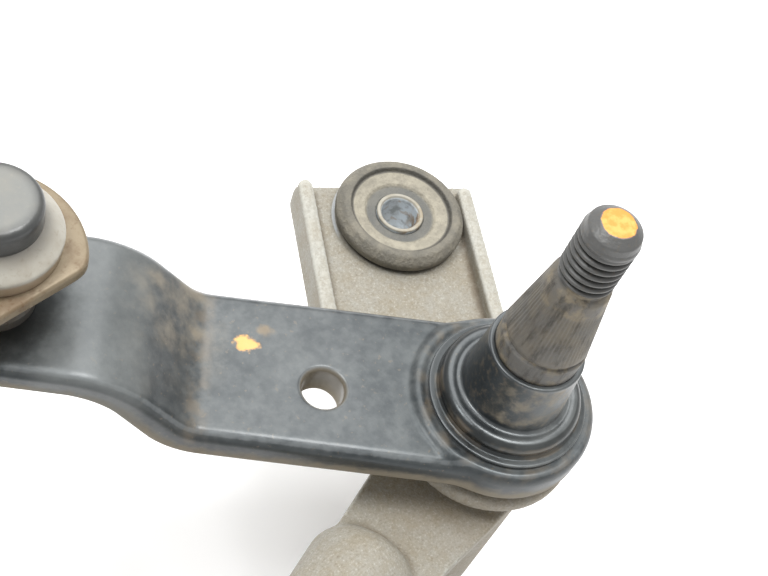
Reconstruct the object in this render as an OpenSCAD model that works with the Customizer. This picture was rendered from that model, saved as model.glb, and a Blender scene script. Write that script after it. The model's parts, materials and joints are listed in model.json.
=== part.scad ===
// Windscreen wiper linkage: two spindles in cast housings on a tube, worked by pressed rods.
// Each pivot is drawn in a frame of its own. Z runs up the spindle, and zero is the lever's flat top.
// The whole part then moves so that its origin is the foot of the right fixing sleeve.
// Millimetres throughout.

/* [Layout] */
// Distance between the two spindle axes
pivot_spacing = 440; // [400:5:520]
// Direction of the levers at rest, from the line of the pivots
lever_angle = 136; // [130:1:140]

/* [Levers] */
// Spindle to ball on both levers
lever_reach = 73.6; // [69:0.2:78]
// Spindle to drive ball on the left lever
drive_reach = 45; // [42:0.5:50]
// Width of the strap at the spindle
lever_width = 25.4; // [24:0.2:26.4]
// Thickness of the lever's steel at the spindle
lever_t = 6.2; // [5.4:0.2:6.8]
// Rise of the lever's outer end above its flat top
joggle_rise = 10.3; // [9.5:0.1:12]

/* [Spindles] */
// Diameter that runs in the bushes
spindle_d = 10; // [9:0.5:11]
// Large end of the serrated taper
taper_d = 12.2; // [11.6:0.1:13]
// Outside diameter of the thread
thread_d = 8; // [7:0.25:8.5]
// Tip of the spindle above the lever
spindle_rise = 43.4; // [41:0.2:48]

/* [Housings] */
// Diameter of the boss under the lever
boss_d = 28; // [26:0.5:30]
// Length of the bearing barrel below the boss's top
barrel_length = 44; // [40:1:60]
// Width of the ear over its ribs
ear_width = 31; // [29:0.5:34]
// Thickness of the cast plate
plate_t = 5; // [4:0.25:6]

/* [Fixings] */
// Outside diameter of the grommet's rim
grommet_d = 22.6; // [21.6:0.2:24]
// Hole in the fixing sleeve
bolt_hole_d = 6.4; // [5.4:0.1:6.8]

/* [Frame] */
// Outside diameter of the frame tube
tube_d = 14; // [13:0.5:15]
// Wall of the frame tube
tube_wall = 1.5; // [1:0.1:2.5]
// Thickness of the motor bracket's steel
bracket_t = 3; // [2:0.25:4]
// Circle of the motor's bolts
motor_pcd = 72; // [66:1:76]

/* [Rods] */
// Width of the pressed rods
rod_width = 17.4; // [16:0.2:18.6]
// Thickness of the rods' steel
rod_t = 2; // [1.5:0.1:2.4]
// Diameter of the balls
ball_d = 10; // [9:0.2:10.6]

/* [Hidden] */
// Clearances: axial play, bush on spindle, ball in socket
play = 0.2;
bush_clearance = 0.04;
ball_clearance = 0.05;

// Heights in a pivot's own frame
head_rise = 0.8;
washer_t = 1.2;
boss_top = -(lever_t + washer_t + play);
plate_drop = 5.4;
plate_top = boss_top - plate_drop;
plate_base = plate_top - plate_t;
barrel_base = boss_top - barrel_length;
tube_drop = 4;
tube_z = plate_top - tube_drop;
rib_rise = 3;

// Spindle and collar radii, stepping outwards from the thread
thread_r = thread_d / 2;
spindle_r = spindle_d / 2;
seat_r = spindle_r + 1;
base_r = max(taper_d / 2, seat_r) + 0.2;
collar_rim_r = base_r + 0.8;
collar_foot_r = collar_rim_r + 1.2;
bead_r = 1.6;
bead_at = collar_foot_r + 1.1;
flange_r = bead_at + 2.4;
head_r = flange_r + 2.4;
flange_t = 0.8;
collar_height = 13.5;
collar_top = head_rise + collar_height;
taper_base = collar_top + 4;
thread_length = 9.2;
tip_chamfer = 1.4;
thread_top = spindle_rise - tip_chamfer;
thread_base = thread_top - thread_length;
neck_base = thread_base - 1.6;
groove_r = spindle_r - 0.6;
lower_washer_top = barrel_base - play;
clip_top = lower_washer_top - washer_t;
clip_base = clip_top - washer_t;
spindle_base = clip_base - 2;

// Bearing parts
bush_r = spindle_r + 2;
bush_length = 14;
seal_r = bush_r + 1;
seal_t = 2.6;
seal_top = boss_top - 0.4;
bush_top = seal_top - seal_t;
washer_r = spindle_r + 6.2;

// Ear, in a frame turned along it
ear_angle = 56;
ear_end = 49.5;
ear_mid = 6.7;
ear_left = ear_mid + ear_width / 2;
ear_right = ear_mid - ear_width / 2;
ear_shoulder = 13;
rib_width = 2.6;
boss_r = boss_d / 2;
boss_t = 2.6;
boss_edge = 0.8;
barrel_r = bush_r + 3.9;
gusset_t = 3;
ear_gusset_drop = 18;
arm_gusset_drop = 20;

// Fixing: sleeve, grommet and the slot that holds it
fix_along = 41.9;
fix_across = 5.2;
fix_x = fix_along * cos(ear_angle) - fix_across * sin(ear_angle);
fix_y = fix_along * sin(ear_angle) + fix_across * cos(ear_angle);
sleeve_r = bolt_hole_d / 2 + 0.85;
sleeve_rise = 2.6;
sleeve_drop = 6;
sleeve_top = plate_top + sleeve_rise;
sleeve_foot = plate_base - sleeve_drop;
waist_r = sleeve_r + 3;
grommet_r = grommet_d / 2;
rim_r = 2.4;
grommet_drop = 5;

// Arm and tube socket, in a frame turned along the tube
tube_angle = 180 + atan2(7, 24);
arm_left = -11.2;
arm_right = barrel_r + 0.7;
arm_end = 60;
tube_r = tube_d / 2;
tube_across = -4.7;
socket_r = tube_r + 1.4;
socket_start = 23.75;
web_end = socket_start + 10;
web_root = 6;
web_step = 0.4;
socket_round = 5;
socket_floor = 6;
socket_length = arm_end - socket_start;

// Frame tube: its legs fall 7 in 24, so that the bend's ends meet them exactly
leg_end = 130;
bend_radius = 80;
bend_turn = tube_angle - 180;
bend_x = leg_end * cos(tube_angle) - tube_across * sin(tube_angle) + bend_radius * sin(tube_angle);
bend_y = leg_end * sin(tube_angle) + tube_across * cos(tube_angle) - bend_radius * cos(tube_angle);
middle_y = bend_y - bend_radius;
middle_length = pivot_spacing + 2 * bend_x;

// Lever outlines
eye_r = lever_width / 2 - 1;
eye_lean = -0.5;
drive_eye_r = eye_r - 2.2;
tip_t = lever_t - 1.5;
arc_steps = 10;

// Joggle: the top's two arcs with the slope between them, then the slope that touches the underside's arcs
joggle_start = 44;
joggle_angle = 45;
rise_r = 5;
fall_r = 10;
joggle_slope = (joggle_rise - (rise_r + fall_r) * (1 - cos(joggle_angle))) / sin(joggle_angle);
joggle_end = joggle_start + (rise_r + fall_r) * sin(joggle_angle) + joggle_slope * cos(joggle_angle);
rise_centre = [joggle_start, rise_r];
fall_centre = [joggle_end, joggle_rise - fall_r];
centre_line = fall_centre - rise_centre;
under_reach = rise_r + lever_t + fall_r - tip_t;
under_angle = asin(under_reach / norm(centre_line)) + atan2(centre_line[1], centre_line[0]);
tooling_hole_at = [27.4, 2];
tooling_hole_r = 3.25;

// Ball joints, measured from the ball's centre
ball_r = ball_d / 2;
ball_height = 11.3;
rivet_r = 4;
rivet_head_r = 6;
rivet_head_t = 1.8;
stud_foot_r = rivet_r + 1.6;
stud_foot_t = 2;
neck_r = ball_r * 0.6;
socket_body_r = ball_r + 1.6;
socket_flange_r = socket_body_r + 2.05;
socket_flange_t = 1.7;
socket_lip_t = 0.8;
socket_base = -ball_r * 0.62;
rod_top = 0.9;
rod_base = rod_top - rod_t;
cap_foot = rod_top + socket_flange_t;
cap_r = ball_r + 0.75;
cap_wall = 0.9;
cap_rise = 5.9;
cap_round = 2.2;
rod_eye_r = socket_body_r + 3.6;
rod_bead_r = 3.2;
rod_bead_inset = 32;

// Motor bracket and drive
motor_offset = 210;
motor_x = motor_offset - pivot_spacing;
motor_hole_r = 17;
motor_bolt_r = 3.3;
motor_plate_r = motor_pcd / 2 + 10;
motor_y = middle_y - tube_r - motor_plate_r - 0.5;
motor_collar_t = 3;
motor_collar_rise = 4;
saddle_length = 62;
saddle_flange = 9;
bracket_top = tube_z;
bracket_ear = 58;
bracket_ear_end = 8;
drive_ball = [drive_reach * cos(lever_angle + 180) - pivot_spacing, drive_reach * sin(lever_angle + 180)];
drive_ball_end = [drive_reach * cos(lever_angle + 90) - pivot_spacing, drive_reach * sin(lever_angle + 90)];
drive_near = norm([motor_x, motor_y] - drive_ball);
drive_far = norm([motor_x, motor_y] - drive_ball_end);
drive_length = (drive_near + drive_far) / 2;
drive_angle = atan2(motor_y - drive_ball[1], motor_x - drive_ball[0]);

// Colours
cast_grey = [0.74, 0.71, 0.64];
lever_black = [0.10, 0.11, 0.13];
spindle_grey = [0.36, 0.34, 0.31];
zinc = [0.78, 0.72, 0.58];
rubber_black = [0.20, 0.19, 0.17];
cream = [0.80, 0.79, 0.73];
cap_grey = [0.30, 0.29, 0.28];
bright_steel = [0.70, 0.70, 0.68];
bronze = [0.55, 0.42, 0.24];

// Places

module at_right() {
    translate([-fix_x, -fix_y, -sleeve_foot]) children();
}

module at_left() {
    at_right() translate([-pivot_spacing, 0, 0]) children();
}

module at_right_fixing() {
    at_right() translate([fix_x, fix_y, 0]) children();
}

module at_left_fixing() {
    at_left() translate([-fix_x, fix_y, 0]) children();
}

module at_motor_fixing() {
    at_right() translate([motor_x, motor_y - bracket_ear, 0]) children();
}

module at_lever_ball() {
    rotate([0, 0, lever_angle]) translate([lever_reach, 0, joggle_rise + ball_height]) children();
}

module at_drive_ball() {
    rotate([0, 0, lever_angle + 180]) translate([drive_reach, 0, ball_height]) children();
}

module at_rod_right() {
    at_right() at_lever_ball() rotate([0, 0, 180 - lever_angle]) children();
}

module at_rod_left() {
    at_rod_right() translate([pivot_spacing, 0, 0]) children();
}

module at_drive_rod() {
    at_left() at_drive_ball() rotate([0, 0, drive_angle - lever_angle - 180]) children();
}

module at_crank_end() {
    at_drive_rod() translate([drive_length, 0, 0]) children();
}

// Plain building blocks

module ring(outer, inner, top, height) {
    translate([0, 0, top - height]) difference() {
        cylinder(r = outer, h = height);
        translate([0, 0, -1]) cylinder(r = inner, h = height + 2);
    }
}

module strip(from, to, middle, width) {
    translate([from, middle - width / 2]) square([to - from, width]);
    translate([from, middle]) circle(width / 2);
    translate([to, middle]) circle(width / 2);
}

function on_circle(middle, radius, turn) = middle + radius * [cos(turn), sin(turn)];

function arc(middle, radius, from, to) =
    [for (step = [0 : arc_steps]) on_circle(middle, radius, from + (to - from) * step / arc_steps)];

// Pivot housing: boss and barrel, ear, arm with tube socket

module housing_boss() {
    rotate_extrude() polygon([
        [0, boss_top], [boss_r - boss_edge, boss_top], [boss_r, boss_top - boss_edge],
        [boss_r, boss_top - boss_t], [barrel_r, boss_top - boss_t - boss_edge],
        [barrel_r, barrel_base + boss_edge], [barrel_r - boss_edge, barrel_base], [0, barrel_base]
    ]);
}

module gusset(middle, reach, drop) {
    translate([0, middle + gusset_t / 2, 0]) rotate([90, 0, 0]) linear_extrude(gusset_t) polygon([
        [0, plate_base + 1], [reach, plate_base + 1], [bush_r + 2, plate_base - drop], [0, plate_base - drop]
    ]);
}

module ear_outline() {
    difference() {
        polygon([
            [0, ear_right], [ear_end, ear_right], [ear_end, ear_left],
            [ear_shoulder, ear_left], [0, barrel_r - 1]
        ]);
        translate([fix_along, fix_across]) circle(waist_r);
        translate([fix_along, fix_across - waist_r]) square([ear_end, 2 * waist_r]);
    }
}

module ear() {
    rotate([0, 0, ear_angle]) {
        translate([0, 0, plate_base]) linear_extrude(plate_t) ear_outline();
        translate([0, 0, plate_base]) linear_extrude(plate_t + rib_rise) {
            strip(ear_shoulder + 2, ear_end - 1.8, ear_left - rib_width / 2, rib_width);
            strip(boss_r - 4, ear_end - 3.4, ear_right + rib_width / 2, rib_width);
        }
        gusset(gusset_t / 2, fix_along - waist_r - 4, ear_gusset_drop);
    }
}

module tube_socket() {
    translate([socket_start, tube_across, tube_z]) rotate([0, 90, 0]) rotate_extrude() {
        translate([0, socket_round]) square([socket_r, socket_length - socket_round]);
        square([socket_r - socket_round, socket_round]);
        intersection() {
            translate([socket_r - socket_round, socket_round]) circle(socket_round);
            square([socket_r, socket_round]);
        }
    }
}

module arm() {
    rotate([0, 0, tube_angle]) {
        translate([0, 0, plate_base + web_step]) linear_extrude(plate_t - 2 * web_step) polygon([
            [-web_root, arm_left], [web_end, arm_left],
            [web_end, tube_across + socket_r - 0.5], [0, arm_right]
        ]);
        tube_socket();
        gusset(tube_across / 2, arm_end - 12, arm_gusset_drop);
    }
}

module housing() {
    color(cast_grey) difference() {
        union() {
            housing_boss();
            ear();
            arm();
        }
        translate([0, 0, barrel_base - 1]) cylinder(r = spindle_r + 1, h = barrel_length + 2);
        translate([0, 0, bush_top - bush_length]) cylinder(r = bush_r, h = bush_length + 0.01);
        translate([0, 0, bush_top]) cylinder(r = seal_r, h = 2 * seal_t + 1);
        translate([0, 0, barrel_base - 1]) cylinder(r = bush_r, h = bush_length + 1);
        rotate([0, 0, tube_angle]) translate([socket_start + socket_floor, tube_across, tube_z])
            rotate([0, 90, 0]) cylinder(r = tube_r, h = socket_length);
    }
}

// Fixings

module grommet(groove) {
    inner_ring = sleeve_r + 2.2;
    color(rubber_black) difference() {
        rotate_extrude() difference() {
            translate([0, plate_top]) union() {
                translate([grommet_r - rim_r, rim_r]) circle(rim_r);
                polygon([
                    [sleeve_r, -groove - grommet_drop], [waist_r + 1.2, -groove - grommet_drop],
                    [waist_r + 2.2, -groove], [waist_r, -groove], [waist_r, 0], [grommet_r - rim_r, 0],
                    [grommet_r - rim_r, 2 * rim_r], [grommet_r - rim_r - 1.2, 2 * rim_r - 0.5],
                    [inner_ring, 2 * rim_r - 1.3], [inner_ring, rim_r], [sleeve_r, rim_r]
                ]);
            }
            translate([grommet_r - rim_r - 0.7, plate_top + 2 * rim_r]) circle(0.6);
        }
        translate([0, 0, sleeve_foot - 1]) cylinder(r = sleeve_r, h = sleeve_top - sleeve_foot + 2 * rim_r);
    }
}

module motor_grommet() {
    translate([0, 0, bracket_top - plate_top]) grommet(bracket_t);
}

module sleeve() {
    color(bright_steel) ring(sleeve_r, bolt_hole_d / 2, sleeve_top, sleeve_top - sleeve_foot);
}

// Bearing pieces

module bush(top) {
    color(bronze) ring(bush_r, spindle_r + bush_clearance, top, bush_length);
}

module seal() {
    color(rubber_black) ring(seal_r, spindle_r + ball_clearance, seal_top, seal_t);
}

module thrust_washer() {
    color(cream) ring(washer_r, spindle_r, -lever_t, washer_t);
}

module lower_washer() {
    color(bright_steel) ring(barrel_r - 2, spindle_r, lower_washer_top, washer_t);
}

module circlip() {
    color(spindle_grey) difference() {
        ring(spindle_r + 2.4, groove_r, clip_top, washer_t);
        translate([0, -groove_r * 0.6, clip_base - 1]) cube([2 * spindle_r, groove_r * 1.2, washer_t + 2]);
    }
}

// Lever, drawn along +X and then turned

module joggle_profile() {
    lever_end = lever_reach + eye_r + 1;
    polygon(concat(
        [[0, 0], [0, -lever_t]],
        arc(rise_centre, rise_r + lever_t, -90, under_angle - 90),
        arc(fall_centre, fall_r - tip_t, under_angle + 90, 90),
        [[lever_end, joggle_rise - tip_t], [lever_end, joggle_rise]],
        arc(fall_centre, fall_r, 90, joggle_angle + 90), arc(rise_centre, rise_r, joggle_angle - 90, -90)
    ));
}

module lever_strap() {
    intersection() {
        rotate([90, 0, 0]) linear_extrude(2 * lever_width, center = true) joggle_profile();
        translate([0, 0, -lever_t - 1]) linear_extrude(joggle_rise + lever_t + 2) {
            polygon([
                [0, -lever_width / 2], [lever_reach, eye_lean - eye_r], [lever_reach, eye_lean + eye_r],
                [0, lever_width / 2]
            ]);
            translate([lever_reach, eye_lean]) circle(eye_r);
        }
    }
}

module drive_arm() {
    mirror([1, 0, 0]) translate([0, 0, -lever_t]) linear_extrude(lever_t) {
        polygon([[0, -eye_r], [drive_reach, -drive_eye_r], [drive_reach, drive_eye_r], [0, eye_r]]);
        translate([drive_reach, 0]) circle(drive_eye_r);
    }
}

module lever(with_drive) {
    color(lever_black) rotate([0, 0, lever_angle]) difference() {
        union() {
            lever_strap();
            translate([0, 0, -lever_t]) cylinder(r = head_r, h = lever_t + head_rise);
            if (with_drive) drive_arm();
        }
        translate([0, 0, -lever_t - 1]) cylinder(r = seat_r, h = lever_t + head_rise + 2);
        translate(tooling_hole_at) cylinder(r = tooling_hole_r, h = 2 * lever_t + 2, center = true);
        translate([lever_reach, 0, -lever_t]) cylinder(r = rivet_r, h = joggle_rise + 2 * lever_t);
        if (with_drive) translate([-drive_reach, 0, -lever_t - 1]) cylinder(r = rivet_r, h = lever_t + 2);
    }
}

module collar() {
    color(lever_black) difference() {
        rotate_extrude() {
            translate([0, head_rise]) square([flange_r, flange_t]);
            translate([bead_at, head_rise + bead_r]) circle(bead_r);
            polygon([
                [0, head_rise], [bead_at, head_rise], [bead_at, head_rise + 2 * bead_r],
                [collar_foot_r, head_rise + 2 * bead_r + 0.6], [collar_rim_r, collar_top - 0.7],
                [collar_rim_r - 0.6, collar_top], [0, collar_top]
            ]);
        }
        cylinder(r = seat_r, h = collar_top + 1);
    }
}

module spindle() {
    color(spindle_grey) rotate_extrude() polygon([
        [0, spindle_rise], [thread_r - 1.5, spindle_rise], [thread_r, thread_top], [thread_r, thread_base],
        [thread_r - 0.5, thread_base - 0.5], [thread_r - 0.5, neck_base + 0.4], [thread_r + 0.25, neck_base],
        [taper_d / 2, taper_base], [base_r, taper_base - 0.3], [base_r, collar_top], [seat_r, collar_top],
        [seat_r, -lever_t], [spindle_r, -lever_t], [spindle_r, clip_top], [groove_r, clip_top],
        [groove_r, clip_base], [spindle_r, clip_base], [spindle_r, spindle_base + 0.8],
        [spindle_r - 0.8, spindle_base], [0, spindle_base]
    ]);
}

// Ball joint pieces, drawn about the ball's centre

module ball_stud(grip) {
    rivet_foot = -ball_height - grip;
    color(bright_steel) {
        sphere(ball_r);
        rotate_extrude() polygon([
            [0, 0], [neck_r, -ball_r * 0.8], [neck_r, -ball_height + stud_foot_t + 1.5],
            [stud_foot_r - 1, -ball_height + stud_foot_t], [stud_foot_r, -ball_height + stud_foot_t - 0.5],
            [stud_foot_r, -ball_height], [rivet_r, -ball_height], [rivet_r, rivet_foot],
            [rivet_head_r, rivet_foot], [rivet_head_r - 0.5, rivet_foot - 1],
            [rivet_head_r - 2, rivet_foot - rivet_head_t], [0, rivet_foot - rivet_head_t]
        ]);
    }
}

module ball_socket() {
    color(cream) difference() {
        rotate_extrude() polygon([
            [0, cap_foot], [socket_flange_r - 0.4, cap_foot], [socket_flange_r, cap_foot - 0.5],
            [socket_flange_r, rod_top], [socket_body_r, rod_top], [socket_body_r, rod_base],
            [socket_body_r + 0.5, rod_base], [socket_body_r, rod_base - socket_lip_t],
            [socket_body_r - 0.5, socket_base], [0, socket_base]
        ]);
        sphere(ball_r + ball_clearance);
    }
}

module cap() {
    color(cap_grey) difference() {
        translate([0, 0, cap_foot]) rotate_extrude() {
            square([cap_r, cap_rise - cap_round]);
            square([cap_r - cap_round, cap_rise]);
            intersection() {
                translate([cap_r - cap_round, cap_rise - cap_round]) circle(cap_round);
                square([cap_r, cap_rise]);
            }
        }
        translate([0, 0, cap_foot - 1]) cylinder(r = cap_r - cap_wall, h = ball_r + 0.8 - cap_foot + 1);
    }
}

// Pressed rod along +X from its first ball, stiffened by a hollow bead

module rod_bead(length, radius) {
    translate([rod_bead_inset, 0, rod_base]) {
        sphere(radius);
        rotate([0, 90, 0]) cylinder(r = radius, h = length - 2 * rod_bead_inset);
        translate([length - 2 * rod_bead_inset, 0, 0]) sphere(radius);
    }
}

module rod(length) {
    color(zinc) difference() {
        union() {
            translate([0, 0, rod_base]) linear_extrude(rod_t) {
                translate([0, -rod_width / 2]) square([length, rod_width]);
                circle(rod_eye_r);
                translate([length, 0]) circle(rod_eye_r);
            }
            rod_bead(length, rod_bead_r + rod_t / 2);
        }
        rod_bead(length, rod_bead_r - rod_t / 2);
        translate([0, -rod_width, rod_base - 2 * rod_width]) cube([length, 2 * rod_width, 2 * rod_width]);
        translate([0, 0, rod_base - 1]) cylinder(r = socket_body_r, h = rod_t + 2);
        translate([length, 0, rod_base - 1]) cylinder(r = socket_body_r, h = rod_t + 2);
    }
}

// Frame tube and motor bracket, in the right pivot's frame

module tube_ring() {
    difference() {
        circle(tube_r);
        circle(tube_r - tube_wall);
    }
}

module tube_half() {
    leg_start = socket_start + socket_floor;
    rotate([0, 0, tube_angle]) translate([leg_start, tube_across, tube_z])
        rotate([0, 90, 0]) linear_extrude(leg_end - leg_start) tube_ring();
    translate([bend_x, bend_y, tube_z]) intersection() {
        rotate_extrude() translate([bend_radius, 0]) tube_ring();
        translate([0, 0, -tube_d]) linear_extrude(2 * tube_d)
            polygon([[0, 0], [0, -2 * bend_radius], 2 * bend_radius * [sin(bend_turn), -cos(bend_turn)]]);
    }
}

module tube() {
    color(lever_black) {
        tube_half();
        translate([-pivot_spacing, 0, 0]) mirror([1, 0, 0]) tube_half();
        translate([bend_x, middle_y, tube_z]) rotate([0, -90, 0]) linear_extrude(middle_length) tube_ring();
    }
}

module saddle() {
    translate([motor_x - saddle_length / 2, middle_y, tube_z]) rotate([90, 0, 90])
    linear_extrude(saddle_length) {
        intersection() {
            difference() {
                circle(tube_r + bracket_t);
                circle(tube_r);
            }
            translate([-2 * tube_r, 0]) square([4 * tube_r, 2 * tube_r]);
        }
        translate([tube_r, -bracket_t]) square([saddle_flange, bracket_t]);
    }
}

module bracket_outline() {
    difference() {
        union() {
            circle(motor_plate_r);
            translate([-saddle_length / 2, 0]) square([saddle_length, middle_y - motor_y - tube_r]);
            translate([-ear_width / 2, -bracket_ear - bracket_ear_end]) square([ear_width, bracket_ear]);
        }
        circle(motor_hole_r);
        for (turn = [30, 150, 270]) rotate(turn) translate([motor_pcd / 2, 0]) circle(motor_bolt_r);
        translate([0, -bracket_ear]) circle(waist_r);
        translate([-waist_r, -bracket_ear - ear_end]) square([2 * waist_r, ear_end]);
    }
}

module bracket_bead(side) {
    reach = middle_y - motor_y - tube_r - bracket_t - 3;
    translate([motor_x + side * (saddle_length / 2 - 7), motor_y, bracket_top]) {
        rotate([-90, 0, 0]) cylinder(r = bracket_t * 0.7, h = reach);
        sphere(bracket_t * 0.7);
        translate([0, reach, 0]) sphere(bracket_t * 0.7);
    }
}

module bracket() {
    color(lever_black) {
        saddle();
        translate([motor_x, motor_y, bracket_top - bracket_t]) linear_extrude(bracket_t) bracket_outline();
        for (side = [-1, 1]) bracket_bead(side);
        translate([motor_x, motor_y, bracket_top])
            ring(motor_hole_r + motor_collar_t, motor_hole_r, motor_collar_rise, motor_collar_rise);
    }
}

at_right() tube();  // frame_tube
at_right() bracket();  // motor_bracket
at_right() housing();  // right_housing
at_left() mirror([1, 0, 0]) housing();  // left_housing
at_right_fixing() grommet(plate_t);  // right_grommet
at_left_fixing() grommet(plate_t);  // left_grommet
at_motor_fixing() motor_grommet();
at_right_fixing() sleeve();  // right_sleeve
at_left_fixing() sleeve();  // left_sleeve
at_motor_fixing() sleeve();  // motor_sleeve
at_right() bush(bush_top);  // right_upper_bush
at_right() bush(barrel_base + bush_length);  // right_lower_bush
at_left() bush(bush_top);  // left_upper_bush
at_left() bush(barrel_base + bush_length);  // left_lower_bush
at_right() seal();  // right_seal
at_left() seal();  // left_seal
at_right() lever(false);  // right_lever
at_right() collar();  // right_collar
at_right() spindle();  // right_spindle
at_right() at_lever_ball() ball_stud(tip_t);  // right_ball_stud
at_right() thrust_washer();  // right_thrust_washer
at_right() lower_washer();  // right_lower_washer
at_right() circlip();  // right_circlip
at_left() lever(true);  // left_lever
at_left() collar();  // left_collar
at_left() spindle();  // left_spindle
at_left() at_lever_ball() ball_stud(tip_t);  // left_ball_stud
at_left() at_drive_ball() ball_stud(lever_t);  // drive_ball_stud
at_left() thrust_washer();  // left_thrust_washer
at_left() lower_washer();  // left_lower_washer
at_left() circlip();  // left_circlip
at_rod_right() rod(pivot_spacing);  // connecting_rod
at_rod_right() ball_socket();  // rod_right_socket
at_rod_right() cap();  // rod_right_cap
at_rod_left() ball_socket();  // rod_left_socket
at_rod_left() cap();  // rod_left_cap
at_drive_rod() rod(drive_length);  // drive_rod
at_drive_rod() ball_socket();  // drive_lever_socket
at_drive_rod() cap();  // drive_lever_cap
at_crank_end() ball_socket();  // drive_crank_socket
at_crank_end() cap();  // drive_crank_cap
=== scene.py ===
# %% [markdown]
# # Dressing a windscreen wiper linkage
# Two spindles turn in cast housings on a bent tube.
# Levers, ball joints and pressed rods swing them together.
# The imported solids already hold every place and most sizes, so this lesson reads those from them.
# Each look is built where its solid is, and no solid is moved.
# A few forms follow the photograph more closely than the solids do: rod ends, caps, the grommets' rims,
# the collars and the levers' heads and bends.

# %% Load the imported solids
import json
import math

import bmesh
import bpy
import numpy as np
from mathutils import Matrix, Vector
from mathutils.geometry import delaunay_2d_cdt


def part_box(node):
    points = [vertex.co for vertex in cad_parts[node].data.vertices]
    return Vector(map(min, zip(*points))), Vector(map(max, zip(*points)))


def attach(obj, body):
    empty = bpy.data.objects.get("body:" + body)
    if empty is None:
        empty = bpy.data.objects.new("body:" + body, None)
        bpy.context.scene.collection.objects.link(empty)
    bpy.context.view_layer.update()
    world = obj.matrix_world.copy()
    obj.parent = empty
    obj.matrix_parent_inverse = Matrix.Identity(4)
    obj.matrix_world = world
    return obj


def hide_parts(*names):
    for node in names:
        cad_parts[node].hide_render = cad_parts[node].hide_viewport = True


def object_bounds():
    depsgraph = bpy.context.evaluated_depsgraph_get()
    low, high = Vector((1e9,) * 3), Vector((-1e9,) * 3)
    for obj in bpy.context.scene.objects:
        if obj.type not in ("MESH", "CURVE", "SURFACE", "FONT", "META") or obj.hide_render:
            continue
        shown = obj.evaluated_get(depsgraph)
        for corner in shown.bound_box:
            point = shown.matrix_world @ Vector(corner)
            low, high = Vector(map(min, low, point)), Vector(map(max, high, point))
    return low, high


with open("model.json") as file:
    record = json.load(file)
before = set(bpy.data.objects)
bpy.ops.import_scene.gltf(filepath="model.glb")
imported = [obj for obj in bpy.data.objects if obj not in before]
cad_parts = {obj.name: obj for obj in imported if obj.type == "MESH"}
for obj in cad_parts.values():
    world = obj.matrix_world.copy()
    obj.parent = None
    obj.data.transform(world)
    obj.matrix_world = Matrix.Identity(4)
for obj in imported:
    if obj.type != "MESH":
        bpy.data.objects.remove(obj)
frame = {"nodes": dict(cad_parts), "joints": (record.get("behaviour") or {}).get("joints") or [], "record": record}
cad_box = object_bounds()
MM = 0.001


def new_object(name, data):
    """An object at the origin that shows a mesh, a light or a camera."""
    made = bpy.data.objects.new(name, data)
    bpy.context.scene.collection.objects.link(made)
    return made


# %% [markdown]
# ## Places
# Every joint and mount of the record has a place, and every solid has a box.
# Reading them here means that the looks follow the model when a size changes.
# Millimetres are easier to think in than metres, so places are kept in millimetres until a mesh is made.

# %% Places of the joints, in millimetres


def named(rows, name):
    return next(row for row in rows if row["name"] == name)


def joint_place(name):
    return np.array(named(frame["joints"], name)["pos_m"]) / MM


def mount_place(name):
    return np.array(named(frame["record"]["mounts"], name)["pos_m"]) / MM


def span(node):
    """Lowest and highest corner of a solid, in millimetres."""
    low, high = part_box(node)
    return np.array(low) / MM, np.array(high) / MM


def half_width(node):
    """Outer radius of a round solid, in millimetres."""
    low, high = span(node)
    return (high[0] - low[0]) / 2


right_pivot = joint_place("right_spindle_turn")
left_pivot = joint_place("left_spindle_turn")
right_ball = joint_place("rod_ball_turn")
drive_ball = joint_place("drive_ball_turn")
left_ball = right_ball + left_pivot - right_pivot
pivots = {"right": right_pivot, "left": left_pivot}
crank_ball = mount_place("crank_socket")
lever_line = right_ball - right_pivot
lever_turn = math.atan2(lever_line[1], lever_line[0])
lever_reach = math.hypot(lever_line[0], lever_line[1])

# Sizes of a lever that no box tells: its thickness, its head's radius and where its joggle starts.
lever_t = 6.2
head_r = 14.2
joggle_start = 44
print("levers stand at", round(math.degrees(lever_turn), 1), "degrees, reach", round(lever_reach, 1), "mm")

# %% [markdown]
# ## Camera
# The photograph looks down on the right pivot from the lever's side.
# A camera needs a place and three directions: its own right, its up and the way back out of the picture.
# Writing these three as the columns of a matrix sets them all at once.

# %% Camera at the photograph's view
camera_place = Vector((-128.75, -64.99, 181.68)) * MM
camera_right = Vector((0.6874, -0.6835, 0.2456))
camera_up = Vector((0.4793, 0.6809, 0.5537))
focal_pixels = 1300
picture_width = 768
camera_data = bpy.data.cameras.new("photo_camera")
camera_data.sensor_width = 36
camera_data.lens = camera_data.sensor_width * focal_pixels / picture_width
camera_data.clip_start = 0.01
camera = new_object("photo_camera", camera_data)
turned = Matrix((camera_right, camera_up, camera_right.cross(camera_up))).transposed()
camera.matrix_world = Matrix.Translation(camera_place) @ turned.to_4x4()
bpy.context.scene.camera = camera
print("lens", round(camera_data.lens, 1), "mm")

# %% [markdown]
# ## Floor and light
# The part lies in a bright studio where the ground burns out to white.
# A pale floor under soft lights gives that, and a white world fills the shadows.
# Satin paint only shines where it mirrors something bright, so each light has a place to be mirrored:
# the window in the lever's top, the ceiling light in its edge and the lamp in the collar's bead.

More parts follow.
